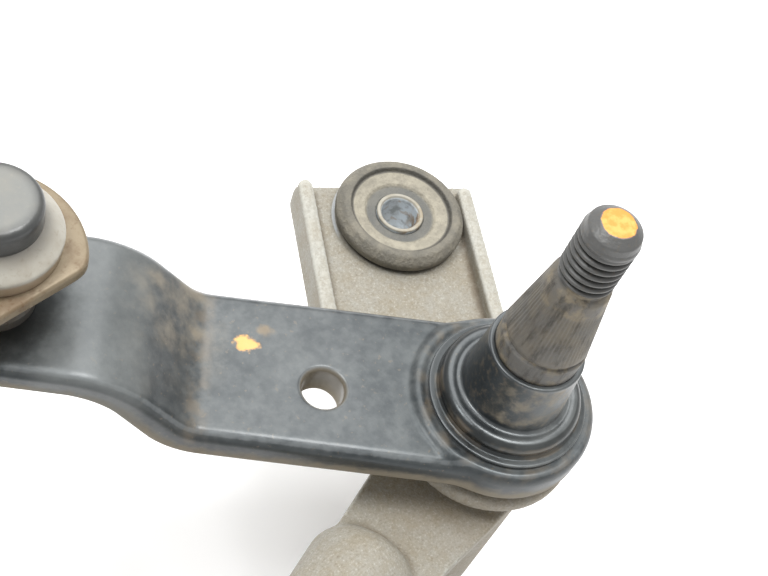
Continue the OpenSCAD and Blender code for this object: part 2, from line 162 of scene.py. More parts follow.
# %% Pale floor, white world and three soft lights
floor_gap = 0.0003
floor_height = cad_box[0].z - floor_gap
floor_mesh = bpy.data.meshes.new("floor")
floor_half = 4.0
floor_corners = [(-1, -1), (1, -1), (1, 1), (-1, 1)]
floor_points = [(x * floor_half, y * floor_half, floor_height) for x, y in floor_corners]
floor_mesh.from_pydata(floor_points, [], [(0, 1, 2, 3)])
floor = new_object("floor", floor_mesh)
floor_finish = bpy.data.materials.new("pale_floor")
floor_finish.use_nodes = True
floor_shader = floor_finish.node_tree.nodes["Principled BSDF"]
floor_look = {"Base Color": (0.92, 0.92, 0.92, 1), "Roughness": 0.9,
              "Emission Color": (1, 1, 1, 1), "Emission Strength": 0.15}
for socket, value in floor_look.items():
    floor_shader.inputs[socket].default_value = value
floor_mesh.materials.append(floor_finish)

world = bpy.data.worlds.new("studio")
world.use_nodes = True
sky = world.node_tree.nodes["Background"]
sky.inputs["Color"].default_value = (1, 1, 1, 1)
sky.inputs["Strength"].default_value = 0.65
bpy.context.scene.world = world
bpy.context.scene.view_settings.view_transform = "Standard"


def soft_light(name, way, width, power):
    """A square light in metres that faces the shown end from a direction."""
    data = bpy.data.lights.new(name, "AREA")
    data.shape = "SQUARE"
    data.size = width
    data.energy = power
    light = new_object(name, data)
    light.location = shown_end + Vector(way)
    light.rotation_euler = (-Vector(way)).to_track_quat("-Z", "Y").to_euler()


shown_end = Vector((right_pivot + right_ball) / 2) * MM
soft_light("window", (0.37, 0.42, 0.76), width=0.8, power=6.2)
soft_light("ceiling", (0.20, -0.08, 0.97), width=0.30, power=6.5)
soft_light("lamp", (-0.34, 0.28, 0.90), width=0.30, power=5)
print("floor at", round(floor_height / MM, 1), "mm")

# %% [markdown]
# ## Node trees as Python
# A material or a Geometry Nodes tree is a list of nodes and wires. Long trees are easier to read as sums.
# The class Wire holds one output, and adding or multiplying wires adds Math nodes.
# Reflected forms make 1 - mask work as well as mask - 1.

# %% Wires and graphs


class Wire:
    """One output of a node. Arithmetic on it adds Math nodes to its tree."""

    def __init__(self, graph, socket):
        self.graph = graph
        self.socket = socket

    def __add__(self, other):
        return self.graph.math("ADD", self, other)

    def __radd__(self, other):
        return self.graph.math("ADD", other, self)

    def __sub__(self, other):
        return self.graph.math("SUBTRACT", self, other)

    def __rsub__(self, other):
        return self.graph.math("SUBTRACT", other, self)

    def __mul__(self, other):
        return self.graph.math("MULTIPLY", self, other)

    def __rmul__(self, other):
        return self.graph.math("MULTIPLY", other, self)

    def __truediv__(self, other):
        return self.graph.math("DIVIDE", self, other)


class Graph:
    """A node tree whose nodes are added by name."""

    def __init__(self, tree):
        self.tree = tree

    def feed(self, socket, value):
        if isinstance(value, Wire):
            self.tree.links.new(value.socket, socket)
        else:
            socket.default_value = value

    def add(self, kind, settings=None, sockets=None, out=0):
        node = self.tree.nodes.new(kind)
        for name, value in (settings or {}).items():
            setattr(node, name, value)
        for key, value in (sockets or {}).items():
            self.feed(node.inputs[key], value)
        return Wire(self, node.outputs[out])

    def math(self, operation, *values):
        return self.add("ShaderNodeMath", {"operation": operation}, dict(enumerate(values)))

    def vector(self, operation, *values, out=0):
        return self.add("ShaderNodeVectorMath", {"operation": operation}, dict(enumerate(values)), out)

    def ramp(self, value, low, high):
        """0 below low, 1 above high, and a soft slope between them."""
        sockets = {"Value": value, "From Min": low, "From Max": high}
        return self.add("ShaderNodeMapRange", {"interpolation_type": "SMOOTHSTEP"}, sockets)

    def between(self, value, low, high, soft):
        """1 between two limits, fading to 0 over the soft width outside them."""
        return self.ramp(value, low - soft, low) * (1 - self.ramp(value, high, high + soft))

    def mix(self, share, first, second):
        """Blends two colours: the first where share is 0 and the second where it is 1."""
        sockets = {0: share, 6: first, 7: second}
        return self.add("ShaderNodeMix", {"data_type": "RGBA"}, sockets, 2)


print("graph operators ready")

# %% [markdown]
# ## Finishes
# A finish starts from a Principled shader and a place on the piece in millimetres.
# Noise of a known size in millimetres keeps grain, dust and rust at their real scale on every piece.
# Colours are given as seen on screen, so they are turned into the linear values that shaders use.

# %% Tools for finishes


def paint(red, green, blue):
    """A colour as seen on screen, in the linear values of a shader."""
    linear = [c / 12.92 if c <= 0.04045 else ((c + 0.055) / 1.055) ** 2.4 for c in (red, green, blue)]
    return (*linear, 1.0)


class Finish:
    """A named material with its graph, its shader, its colour and the place on the piece in millimetres."""

    def __init__(self, name, colour):
        self.colour = colour
        self.material = bpy.data.materials.new(name)
        self.material.use_nodes = True
        self.graph = Graph(self.material.node_tree)
        self.shader = self.material.node_tree.nodes["Principled BSDF"]
        place = self.graph.add("ShaderNodeTexCoord", out="Object")
        sockets = {0: place, "Scale": 1 / MM}
        self.place = self.graph.add("ShaderNodeVectorMath", {"operation": "SCALE"}, sockets)

    def noise(self, size, detail=3.0, rough=0.55, place=None):
        """Cloudy values around 0.5 whose patches are about size millimetres wide."""
        sockets = {"Vector": place or self.place, "Scale": 1 / size, "Detail": detail, "Roughness": rough}
        return self.graph.add("ShaderNodeTexNoise", {}, sockets)

    def patches(self, size, low, high, detail=3.0):
        """0 to 1 where the noise of that size rises from low to high."""
        return self.graph.ramp(self.noise(size, detail), low, high)

    def edge(self):
        """The piece's own mark: above 0 on outer edges, below 0 in corners."""
        return self.graph.add("ShaderNodeAttribute", {"attribute_name": "edge"}, out="Fac")

    def radius(self, centre):
        """Distance from a vertical axis."""
        offset = self.graph.vector("SUBTRACT", self.place, tuple(centre))
        flat = self.graph.vector("MULTIPLY", offset, (1, 1, 0))
        return self.graph.vector("LENGTH", flat, out="Value")

    def height(self, level):
        """Height above a level."""
        return self.graph.add("ShaderNodeSeparateXYZ", {}, {0: self.place}, 2) - float(level)

    def upward(self):
        """1 on what faces up, falling to 0 on upright walls."""
        normal = self.graph.add("ShaderNodeTexCoord", out="Normal")
        lift = self.graph.vector("DOT_PRODUCT", normal, (0, 0, 1), out="Value")
        return self.graph.ramp(lift, 0.35, 0.95)

    def along(self, start, direction):
        """Distance from a point along a direction."""
        offset = self.graph.vector("SUBTRACT", self.place, tuple(start))
        return self.graph.vector("DOT_PRODUCT", offset, tuple(direction), out="Value")

    def bump(self, height, depth):
        """Relief that is depth millimetres tall."""
        sockets = {"Height": height, "Distance": depth * MM, "Strength": 1.0}
        return self.graph.add("ShaderNodeBump", {}, sockets)

    def tint(self, share, colour):
        """Lays another colour over the finish where share is above 0."""
        self.colour = self.graph.mix(share, self.colour, colour)

    def set(self, **values):
        """Feeds the shader's sockets by their names, with _ for a space."""
        for name, value in values.items():
            socket = name.replace("_", " ").title().replace("Ior", "IOR")
            self.graph.feed(self.shader.inputs[socket], value)

    def done(self, **values):
        """Feeds the shader with the finish's colour and other values, and gives the material."""
        self.set(base_color=self.colour, **values)
        return self.material


print("finish tools ready")

# %% [markdown]
# ### Cast aluminium
# The housings are die castings that have gone beige with road dust, with a fine sandy grain.
# Corners are darkened brown, and the plate under the grommet's rim gets a painted shadow.
# A brown stain under the lever also paints the lever's shade, and handling polishes ribs and edges back to bright
# metal.
# The mark named edge, which the casting's own mesh carries, tells corners from edges.

# %% Cast aluminium finish
metal_grey = paint(0.565, 0.555, 0.52)
road_dust = paint(0.52, 0.49, 0.425)
dark_brown = paint(0.36, 0.31, 0.24)
bare_edge = paint(0.78, 0.78, 0.75)
painted_contact_shadow = paint(0.17, 0.155, 0.13)
brown_stain_and_shade = paint(0.50, 0.43, 0.34)
rubbed_metal = paint(0.84, 0.87, 0.90)
rim_in_solid = 4.8  # height of the solid grommet's rim above the plate it sits on


def casting_finish(name, pivot, fixing, plate):
    cast = Finish(name, metal_grey)
    g = cast.graph
    edge = cast.edge()
    grain = cast.noise(0.35, 3, 0.7)
    dusty = cast.patches(7.0, 0.30, 0.70) * 0.6 + cast.patches(1.1, 0.35, 0.70, 5) * 0.4
    cast.tint(dusty, road_dust)
    cast.tint(g.ramp(grain, 0.52, 0.76) * 0.40, bare_edge)
    cast.tint(g.ramp(grain, 0.48, 0.28) * 0.45, dark_brown)
    # Concave corners, found by the edge mark, are darkened brown.
    in_corners = g.ramp(cast.noise(1.6, 5) * 0.4 - edge, 0.24, 0.70)
    cast.tint(in_corners * 0.70, dark_brown)
    # Under the lever head the casting is stained brown, and the stain also paints the shade that the lever casts
    # there.
    under_lever_stain_and_shade = 1 - g.ramp(cast.radius(pivot) + cast.noise(4.0, 4) * 10, 19, 30)
    cast.tint(under_lever_stain_and_shade * 0.20, brown_stain_and_shade)
    ear_way = (fixing - pivot) * (1, 1, 0)
    on_ear = g.ramp(cast.along(pivot, ear_way / np.linalg.norm(ear_way)), 8, 14)
    on_rib = g.ramp(cast.height(plate), 1.9, 2.6) * on_ear
    worn = g.ramp(edge + cast.noise(0.6, 3) * 0.30, 0.40, 0.62) * (1 - under_lever_stain_and_shade)
    bare = g.math("MAXIMUM", on_rib * (0.20 + cast.patches(0.8, 0.40, 0.65, 4) * 0.20), worn * 0.50)
    cast.tint(bare, bare_edge)
    around = cast.radius(fixing)
    # Painted shadow darkens the plate under the grommet's overhanging rim.
    shaded = g.between(around, 7.0, 10.2, 1.0) * (1 - g.ramp(cast.height(plate), 0.3, 0.8))
    cast.tint(shaded * 0.8, painted_contact_shadow)
    toward_rib = cast.along(fixing, (-0.72, 0.69, 0))
    rubbed = g.between(around, 11.0, 11.3, 0.25) * g.ramp(toward_rib, 9.6, 11.0)
    cast.tint(rubbed * 0.5, rubbed_metal)
    relief = cast.bump(grain * 0.6 + cast.noise(1.6, 4) * 0.5, 0.20)
    return cast.done(roughness=0.70 - bare * 0.20, metallic=bare * 0.25, normal=relief)


housing_finish = {}
for side, pivot in pivots.items():
    plate_top = span(f"{side}_grommet")[1][2] - rim_in_solid
    fixing = mount_place(f"{side}_fixing")
    housing_finish[side] = casting_finish(f"{side}_cast_aluminium", pivot, fixing, plate_top)
print("castings:", [m.name for m in housing_finish.values()])

# %% [markdown]
# ### Black paint
# Levers, collars, tube and bracket wear a satin black dip paint that reflects a little blue from the sky.
# Dust makes what faces up greyer in patches, and brown dirt stays where water stands.
# Some tints also paint light: a pale line on each edge's top is wear and a painted highlight,
# the beige at each edge's foot is dust and a painted floor reflection, a grey tint past the joggle
# is a painted sheen, and grease by the ball also paints the rod's shadow.
# Each lever has a yellow dab from the inspector's brush, so its finish needs to know where the lever lies.

# %% Black paint finishes
black_paint = paint(0.11, 0.125, 0.135)
grey_dust_and_painted_light = paint(0.42, 0.43, 0.425)
brown_dirt = paint(0.42, 0.37, 0.30)
beige_dust_and_reflection = paint(0.54, 0.50, 0.43)
black_grease_and_shade = paint(0.10, 0.095, 0.085)
rubbed_paint_and_highlight = paint(0.66, 0.68, 0.69)
inspector_yellow = paint(0.84, 0.63, 0.31)
sky_tint = (0.86, 0.96, 1.0, 1.0)


class Paint(Finish):
    """The black paint: its film says how dusty it is, and its gloss is dull where dust lies."""

    def __init__(self, name, film):
        super().__init__(name, black_paint)
        g = self.graph
        cloud = self.patches(9.0, 0.30, 0.70, 4) * 0.5 + self.patches(1.8, 0.32, 0.68, 5) * 0.5
        self.tint(cloud * film * (0.1 + self.upward() * 0.9), grey_dust_and_painted_light)
        specks = self.patches(0.7, 0.64, 0.74, 2)
        self.tint(specks * 0.40, brown_dirt)
        # A pale line along each edge's top is partly worn paint and partly a painted highlight.
        rubbed = g.ramp(self.edge() + self.noise(1.5, 4) * 0.5, 0.98, 1.25)
        self.tint(rubbed * 0.15, rubbed_paint_and_highlight)
        # Lower edges and the underside turn beige: dust, and a painted reflection of the pale floor in each edge's
        # lower half.
        dusty_foot_and_reflection = g.ramp(-1 * self.edge() + self.noise(2.0, 4) * 0.4, 0.32, 0.68)
        self.tint(dusty_foot_and_reflection * 0.75, beige_dust_and_reflection)
        wiped = self.patches(6.0, 0.32, 0.68, 5) * 0.6 + self.patches(1.0, 0.35, 0.65, 4) * 0.4
        self.gloss = (0.40 + wiped * 0.35) * (1 - dusty_foot_and_reflection)
        self.rough = 0.38 + cloud * 0.12 + dusty_foot_and_reflection * 0.25 - rubbed * 0.10
        self.relief = self.noise(0.7, 3) * 0.4 + self.noise(4.0, 2)

    def dried(self):
        """The finished material."""
        self.set(specular_ior_level=0.45, specular_tint=sky_tint, coat_roughness=0.28)
        relief = self.bump(self.relief, 0.07)
        return self.done(roughness=self.rough, coat_weight=self.gloss, normal=relief)


def lever_paint(name, pivot, ball, dabs):
    """Paint with a dusty joggle, grease and painted shadow round the ball, a painted sheen past the joggle, and
    dabs of paint or dust on the top.

    A dab is its place along and across, its size, the softness of its edge, its strength and its colour.
    """
    coat = Paint(name, film=0.50)
    g = coat.graph
    along = coat.along(pivot, (math.cos(lever_turn), math.sin(lever_turn), 0))
    across = coat.along(pivot, (-math.sin(lever_turn), math.cos(lever_turn), 0))

    def from_spot(spot_along, spot_across, squeeze):
        """Distance from a spot on the lever's top, as if its width were squeezed."""
        aside = (across - spot_across) * squeeze
        return g.math("SQRT", (along - spot_along) * (along - spot_along) + aside * aside)

    joggle = g.between(along, joggle_start + 1, joggle_start + 10, 5) * coat.patches(4.0, 0.40, 0.80, 6)
    far_side = g.between(across, -14, -3, 7) * 0.8 + 0.2
    coat.tint(joggle * far_side * 0.55, beige_dust_and_reflection)
    foot_line = g.between(along, joggle_start + 0.5, joggle_start + 2, 1.5)
    coat.tint(foot_line * coat.patches(2.5, 0.35, 0.65, 4) * 0.45, brown_dirt)
    # A grey tint past the joggle's crest paints the sheen of the lever's outer end.
    sheen_past_crest = g.between(along, joggle_start + 11, joggle_start + 21, 4)
    coat.tint(sheen_past_crest * 0.45, grey_dust_and_painted_light)
    near_head = 1 - g.ramp(along, 12, 27)
    head_groove = g.between(coat.radius(pivot), head_r - 2.2, head_r - 0.8, 1.0)
    coat.tint(head_groove * coat.patches(3.0, 0.42, 0.70, 4) * 0.40, brown_dirt)
    # Grease round the ball joint, which also paints the shadow that the rod casts on the lever.
    grease_and_shadow = 1 - g.ramp(coat.radius(ball) + coat.noise(3.0, 4) * 6, 9, 15)
    coat.tint(grease_and_shadow * 0.85, black_grease_and_shade)
    coat.gloss = coat.gloss * (1 - grease_and_shadow) * (1 - near_head * 0.6)
    wobble = coat.noise(1.4, 3) * 3.0 - 1.5
    for dab_along, dab_across, size, soft, strength, colour in dabs:
        dab = 1 - g.ramp(from_spot(dab_along, dab_across, squeeze=1.2) + wobble, size - soft, size + 0.2)
        coat.tint(dab * strength, colour)
        coat.relief = coat.relief + dab * strength * 1.2
    in_hole = 1 - g.ramp(from_spot(*tooling_hole, squeeze=1), 3.0, 3.8)
    coat.tint(in_hole * 0.7, beige_dust_and_reflection)
    coat.rough = coat.rough + joggle * 0.15 + grease_and_shadow * 0.2
    return coat.dried()


tooling_hole = (27.4, 2.0)
yellow_dab = (38.7, -3.8, 1.8, 0.6, 1.0, inspector_yellow)
brown_dab = (36.2, -6.6, 1.5, 1.2, 0.45, paint(0.56, 0.46, 0.30))
dust_spots = [(spot_along, spot_across, 2.2, 2.2, 0.5, beige_dust_and_reflection)
              for spot_along, spot_across in ((48.2, -11.0), (46.2, -4.3), (52.3, -9.0))]
right_dabs = [yellow_dab, brown_dab, *dust_spots]
lever_finish = {
    "right": lever_paint("right_lever_paint", right_pivot, right_ball, right_dabs),
    "left": lever_paint("left_lever_paint", left_pivot, left_ball, [yellow_dab]),
}
frame_paint = Paint("frame_paint", film=0.55).dried()
print("paints:", frame_paint.name, [m.name for m in lever_finish.values()])

# %% [markdown]
# ### Collar and spindle
# The collar is painted like the lever. Its flank keeps a brown crust. One side is greyed as painted light,
# and its lip is darkened as painted shade in the valley by the bead.
# The spindle is phosphated steel: dark grey at the thread, dusty brown on the taper and at its foot.
# Its tip carries the same yellow paint.

# %% Collar and spindle finishes
phosphate = paint(0.36, 0.36, 0.355)
groove_dark = paint(0.12, 0.115, 0.105)
taper_brown = paint(0.42, 0.395, 0.35)
foot_dust = paint(0.52, 0.475, 0.39)


def collar_paint(name, pivot):
    coat = Paint(name, film=0.25)
    g = coat.graph
    height = coat.height(pivot[2])
    on_flank = g.between(height, 5.2, 13.5, 0.8)
    # Painted light: the collar is greyed on its side towards +x and -y, as if lit there.
    painted_lit_side = g.ramp(coat.along(pivot, (0.25, -0.97, 0)), 0, 7)
    coat.tint(painted_lit_side * (0.25 + coat.patches(3.0, 0.35, 0.65, 5) * 0.35), grey_dust_and_painted_light)
    front = g.ramp(coat.along(pivot, (-0.55, -0.83, 0)), 3.5, 6.5)
    crust = on_flank * front * coat.patches(2.4, 0.42, 0.72, 8)
    coat.tint(crust * 0.75, beige_dust_and_reflection)
    speckled = on_flank * coat.patches(0.9, 0.48, 0.75, 5)
    coat.tint(speckled * 0.40, brown_dirt)
    valley = g.between(coat.radius(pivot), 10.7, 11.1, 0.3) * coat.patches(4.0, 0.45, 0.65)
    # The lip between the lever's head and the bead is darkened and loses its gloss: painted shade in that valley.
    shaded_lip = g.between(coat.radius(pivot), 10.0, 11.7, 0.3) * (1 - on_flank)
    coat.tint(shaded_lip * 0.65, black_grease_and_shade)
    coat.tint(valley * 0.45, brown_dirt)
    coat.rough = coat.rough + crust * 0.25 + on_flank * 0.10 - 0.12
    coat.gloss = (coat.gloss * 0.5 + 0.5) * (1 - on_flank * 0.7) * (1 - shaded_lip * 0.8)
    coat.relief = coat.relief + crust * 0.5
    return coat.dried()


def spindle_finish(name, pivot, tip):
    steel = Finish(name, phosphate)
    g = steel.graph
    height = steel.height(pivot[2])
    radius = steel.radius(pivot)
    on_thread = g.between(height, tip - 11.0, tip - 2.6, 0.4)
    on_taper = g.between(height, 18.5, 31.5, 0.6)
    on_foot = g.between(height, 14.3, 18.0, 0.4)
    # The thread is darkened in its grooves.
    steel.tint(on_thread * (1 - g.ramp(radius, 3.45, 3.9)), groove_dark)
    steel.tint(on_taper * (0.4 + steel.patches(3.5, 0.35, 0.70) * 0.6), taper_brown)
    steel.tint(on_foot * (0.1 + steel.patches(3.0, 0.42, 0.65) * 0.8), foot_dust)
    neck_dust = g.between(height, 28.5, 32.0, 1.0) * steel.patches(2.5, 0.46, 0.60, 5)
    steel.tint(neck_dust * 0.7, foot_dust)
    drawn_out = g.vector("MULTIPLY", steel.place, (1, 1, 0.3))
    stain = (on_taper + on_foot) * g.ramp(steel.noise(1.5, 7, 0.65, drawn_out), 0.46, 0.72)
    steel.tint(stain * 0.75, paint(0.17, 0.155, 0.135))
    steel.tint(steel.patches(0.6, 0.52, 0.75, 2) * 0.25, brown_dirt)
    daub = g.ramp(height, tip - 0.35, tip - 0.18)
    daub = daub * (1 - g.ramp(radius + steel.noise(0.8) * 0.5, 2.45, 2.65))
    daub_tint = g.mix(steel.patches(1.2, 0.40, 0.62), inspector_yellow, paint(0.84, 0.54, 0.20))
    steel.tint(daub, daub_tint)
    metal_share = (1 - daub) * (0.40 - on_taper * 0.25 - on_foot * 0.25)
    rough = 0.40 + on_taper * 0.14 + on_foot * 0.18 + steel.noise(0.8) * 0.08
    relief = steel.bump(steel.noise(0.4, 3) + stain, 0.06)
    return steel.done(roughness=rough, metallic=metal_share, normal=relief)


print("spindle foot dust:", [round(c, 3) for c in foot_dust[:3]])

# %% [markdown]
# ### Rubber, steel, zinc and plastics
# The grommets are black rubber under a coat of dust that is palest on the dished face.
# The sleeves are bright steel with a bloom of rust, and the rods are yellow-passivated zinc.
# The ball sockets are cream plastic, the caps are grey, and the hidden bushes are sintered bronze.

# %% Rubber finish
worn_rubber = paint(0.31, 0.305, 0.285)
pale_dust = paint(0.55, 0.525, 0.465)
dish_dust = paint(0.64, 0.615, 0.55)
painted_groove_shade = paint(0.18, 0.18, 0.18)
hub_grey = paint(0.33, 0.345, 0.35)
speck_brown = paint(0.22, 0.20, 0.17)


def grommet_rubber(name, fixing):
    rubber = Finish(name, worn_rubber)
    g = rubber.graph
    radius = rubber.radius(fixing)
    dished = g.between(radius, 5.9, 8.2, 0.4)
    grain = rubber.patches(0.7, 0.36, 0.72, 4)
    rubber.tint(0.20 + rubber.patches(3.0, 0.32, 0.72, 5) * 0.35 + grain * 0.15, pale_dust)
    rubber.tint(dished * (0.45 + rubber.patches(1.8, 0.35, 0.70) * 0.35), dish_dust)
    # Painted shade darkens the groove inside the rim.
    rubber.tint(g.between(radius, 8.35, 8.75, 0.25) * 0.6, painted_groove_shade)
    rubber.tint(g.between(radius, 4.0, 5.7, 0.4) * 0.5, hub_grey)
    rubber.tint(rubber.patches(0.5, 0.55, 0.75, 2) * 0.20, speck_brown)
    relief = rubber.bump(grain + rubber.noise(2.5, 3), 0.09)
    return rubber.done(roughness=0.72, normal=relief)


print("rubber is palest on the dish:", [round(c, 3) for c in dish_dust[:3]])

# %% Steel, zinc, plastic and bronze finishes
rust_brown = paint(0.60, 0.46, 0.27)
clean_steel = paint(0.82, 0.85, 0.87)
dull_grey = paint(0.40, 0.405, 0.40)
plastic_grime = paint(0.46, 0.42, 0.35)


def metal(name, colour, patina, roughness, shine):
    """A metal with a patina in patches and a little relief."""
    made = Finish(name, colour)
    tarnish = made.patches(3.5, 0.42, 0.70, 5) * 0.6 + made.patches(0.6, 0.52, 0.75, 3) * 0.4
    made.tint(tarnish, patina)
    rough = roughness + tarnish * 0.2
    relief = made.bump(made.noise(0.5, 3), 0.04)
    return made.done(roughness=rough, metallic=shine - tarnish * shine * 0.6, normal=relief)


def sleeve_finish(name, fixing, top):
    """Bright steel in the bore, a dusty top ring and rust on the side where water stands."""
    steel = Finish(name, clean_steel)
    g = steel.graph
    wet_side = g.ramp(steel.along(fixing, (0.4, -0.92, 0)), 0.8, 2.6)
    rusty = wet_side * steel.patches(1.6, 0.40, 0.58, 5) + steel.patches(1.2, 0.60, 0.70, 4) * 0.5
    steel.tint(steel.patches(1.5, 0.45, 0.70, 5) * 0.6, dull_grey)
    steel.tint(rusty * 0.8, rust_brown)
    ring = g.ramp(steel.height(top), -0.45, -0.20)
    steel.tint(ring * 0.85, paint(0.56, 0.53, 0.46))
    relief = steel.bump(steel.noise(0.5, 3), 0.05)
    rough = 0.42 + ring * 0.25
    return steel.done(roughness=rough, metallic=(1 - ring) * 0.4, normal=relief)


def moulded(name, colour, grime, roughness):
    """A moulded plastic with grime in patches, ready for more tints."""
    made = Finish(name, colour)
    dirty = made.patches(4.0, 0.40, 0.72, 5) * 0.45 + made.patches(0.7, 0.55, 0.75, 3) * 0.3
    relief = made.bump(made.noise(0.6, 2), 0.03)
    made.tint(dirty, grime)
    made.set(roughness=roughness + dirty * 0.2, normal=relief)
    return made


def socket_plastic(name, ball, cap_r, flange_top):
    """Cream plastic, with painted shade in the corner below the cap and tan on its wall."""
    made = moulded(name, paint(0.63, 0.615, 0.575), plastic_grime, 0.45)
    g = made.graph
    # Painted shade darkens the socket round the foot of the cap.
    corner = 1 - g.ramp(made.radius(ball) + made.noise(2.0, 4), cap_r, cap_r + 2.4)
    made.tint(corner * 0.7, paint(0.27, 0.26, 0.245))
    wall = 1 - g.ramp(made.height(flange_top), -0.9, -0.2)
    made.tint(wall * 0.7, paint(0.50, 0.405, 0.285))
    return made.done()


def cap_plastic(name, ball, cap_r):
    """Grey plastic, pale on its top, with painted shade darkening its side."""
    made = moulded(name, paint(0.43, 0.435, 0.42), paint(0.50, 0.49, 0.455), 0.34)
    # Painted shade darkens the cap's side.
    flank = made.graph.ramp(made.radius(ball) + made.noise(1.5, 3) * 0.4, cap_r - 1.9, cap_r + 0.1)
    made.tint(flank * 0.85, paint(0.15, 0.155, 0.16))
    return made.done()


bright_steel = metal("bright_steel", paint(0.74, 0.73, 0.71), paint(0.48, 0.42, 0.34), 0.35, 0.85)
dull_steel = metal("dull_steel", paint(0.45, 0.44, 0.42), paint(0.36, 0.31, 0.25), 0.50, 0.7)
zinc_plate = metal("zinc_plate", paint(0.49, 0.44, 0.355), paint(0.37, 0.28, 0.18), 0.45, 0.30)
bronze = metal("sintered_bronze", paint(0.62, 0.48, 0.29), paint(0.36, 0.28, 0.18), 0.45, 0.8)
washer_plastic = moulded("washer_plastic", paint(0.60, 0.585, 0.55), plastic_grime, 0.45).done()
print("materials so far:", len(bpy.data.materials))

# %% [markdown]
# ## From points to pieces
# A finished piece is one mesh whose place is in its points, seated on a body and standing for its solid.
# The last steps are the same for every piece, so short functions do them:
# they merge doubled points, turn the faces outwards, shade them smooth and keep what modifiers make.

# %% Finish a piece


def seat(piece, body, finish, slot, *nodes):
    """Gives a piece its finish and its body, and hides the solids that it stands for."""
    piece.data.materials.clear()
    piece.data.materials.append(finish)
    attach(piece, body)
    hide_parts(*nodes)


def store_edge(mesh, mark):
    """Keeps a number for each point under the name edge, which the finishes read."""
    layer = mesh.attributes.new("edge", "FLOAT", "POINT")
    layer.data.foreach_set("value", np.asarray(mark, np.float32))


def mend(mesh, merge):
    """Merges doubled points if asked, turns the faces outwards and shades them smooth."""
    work = bmesh.new()
    work.from_mesh(mesh)
    if merge:
        bmesh.ops.remove_doubles(work, verts=work.verts, dist=1e-6)
    bmesh.ops.recalc_face_normals(work, faces=work.faces)
    work.to_mesh(mesh)
    work.free()
    mesh.shade_smooth()


def keep_result(piece, name):
    """Replaces a piece's mesh and modifiers by the mesh that they make together."""
    evaluated = piece.evaluated_get(bpy.context.evaluated_depsgraph_get())
    made = bpy.data.meshes.new_from_object(evaluated)
    piece.modifiers.clear()
    piece.data = made
    made.name = name
    return made


def solid_mesh(name, points, faces, edge=None):
    """A closed mesh from points in millimetres, with its edge marks."""
    mesh = bpy.data.meshes.new(name)
    mesh.from_pydata([tuple(p) for p in np.asarray(points) * MM], [], faces)
    if edge is not None:
        store_edge(mesh, edge)
    mend(mesh, merge=True)
    return mesh


print("piece tools ready")

# %% [markdown]
# ## Castings and the bracket
# A casting has no sharp edge: metal fills a mould with rounded corners.
# Bevels on such a branching shape are hard to keep clean, so a copy of the solid is remeshed in small
# voxels and smoothed, which rounds every edge alike. The difference between a point and its neighbours
# tells edges from corners, and that becomes the mark that the finish reads.

# %% Soften copies of the solids


def table(rows, field, width, kind=float):
    """One field of all of a mesh's points or edges, as a table with a row for each."""
    values = np.empty(len(rows) * width, kind)
    rows.foreach_get(field, values)
    return values.reshape(-1, width)


def mark_edges(mesh, gain):
    """Stores how far each point stands out from its neighbours, as the mark named edge."""
    points = table(mesh.vertices, "co", 3)
    normals = table(mesh.vertices, "normal", 3)
    ends = table(mesh.edges, "vertices", 2, int)
    one, two = ends.T
    number = np.bincount(ends.ravel(), minlength=len(points))

    def neighbours(values):
        total = np.zeros_like(values)
        np.add.at(total, one, values[two])
        np.add.at(total, two, values[one])
        return total / number.reshape(-1, *[1] * (values.ndim - 1))

    stands_out = np.sum((points - neighbours(points)) * normals, axis=1) / MM
    for _ in range(3):
        stands_out = (stands_out + neighbours(stands_out)) / 2
    store_edge(mesh, np.clip(stands_out * gain, -1, 1))


def softened(name, node, voxel, passes):
    """A copy of a solid with every edge rounded. The voxel is in millimetres."""
    work = bmesh.new()
    work.from_mesh(frame["nodes"][node].data)
    bmesh.ops.remove_doubles(work, verts=work.verts, dist=1e-6)
    mesh = bpy.data.meshes.new(name)
    work.to_mesh(mesh)
    work.free()
    piece = new_object(name, mesh)
    remesh = piece.modifiers.new("voxels", "REMESH")
    remesh.mode = "VOXEL"
    remesh.voxel_size = voxel * MM
    smooth = piece.modifiers.new("round", "SMOOTH")
    smooth.iterations = passes
    made = keep_result(piece, name)
    made.shade_smooth()
    mark_edges(made, gain=5 / voxel)
    print(name, len(made.polygons), "faces")
    return piece


for side in pivots:
    casting = softened(f"{side}_casting", f"{side}_housing", voxel=0.44, passes=9)
    seat(casting, "frame", housing_finish[side], "cast_aluminium", f"{side}_housing")
bracket = softened("bracket_pressing", "motor_bracket", voxel=0.55, passes=5)
seat(bracket, "frame", frame_paint, "black_paint", "motor_bracket")

# %% [markdown]
# ## Turned and moulded rings
# Grommets, sleeves, collars, sockets and caps are all round, so each is a profile spun about its axis.
# A profile is a few corners, each with the radius of its rounding. Long lines get extra points,
# because smooth shading across one long face beside a small rounding looks like a dent.

# %% Spin a profile


def eased(corners, step=0.7, arc_points=6):
    """Rounds the corners (radius, height, rounding) of an open profile and splits its long lines."""
    places = [np.array(c[:2], float) for c in corners]
    line = [places[0]]
    for before, corner, after, spec in zip(places, places[1:], places[2:], corners[1:-1]):
        rounding = spec[2] if len(spec) > 2 else 0
        if rounding <= 0:
            line.append(corner)
            continue
        back_length = np.linalg.norm(before - corner)
        ahead_length = np.linalg.norm(after - corner)
        back = (before - corner) / back_length
        ahead = (after - corner) / ahead_length
        half = math.acos(np.clip(back @ ahead, -0.999, 0.999)) / 2
        reach = min(rounding / math.tan(half), 0.49 * back_length, 0.49 * ahead_length)
        for t in np.linspace(0, 1, arc_points):
            line.append(corner + back * reach * (1 - t) ** 2 + ahead * reach * t**2)
    line.append(places[-1])
    split = [line[0]]
    for start, end in zip(line, line[1:]):
        pieces = max(1, math.ceil(np.linalg.norm(end - start) / step))
        split += [start + (end - start) * k / pieces for k in range(1, pieces + 1)]
    return np.array(split)


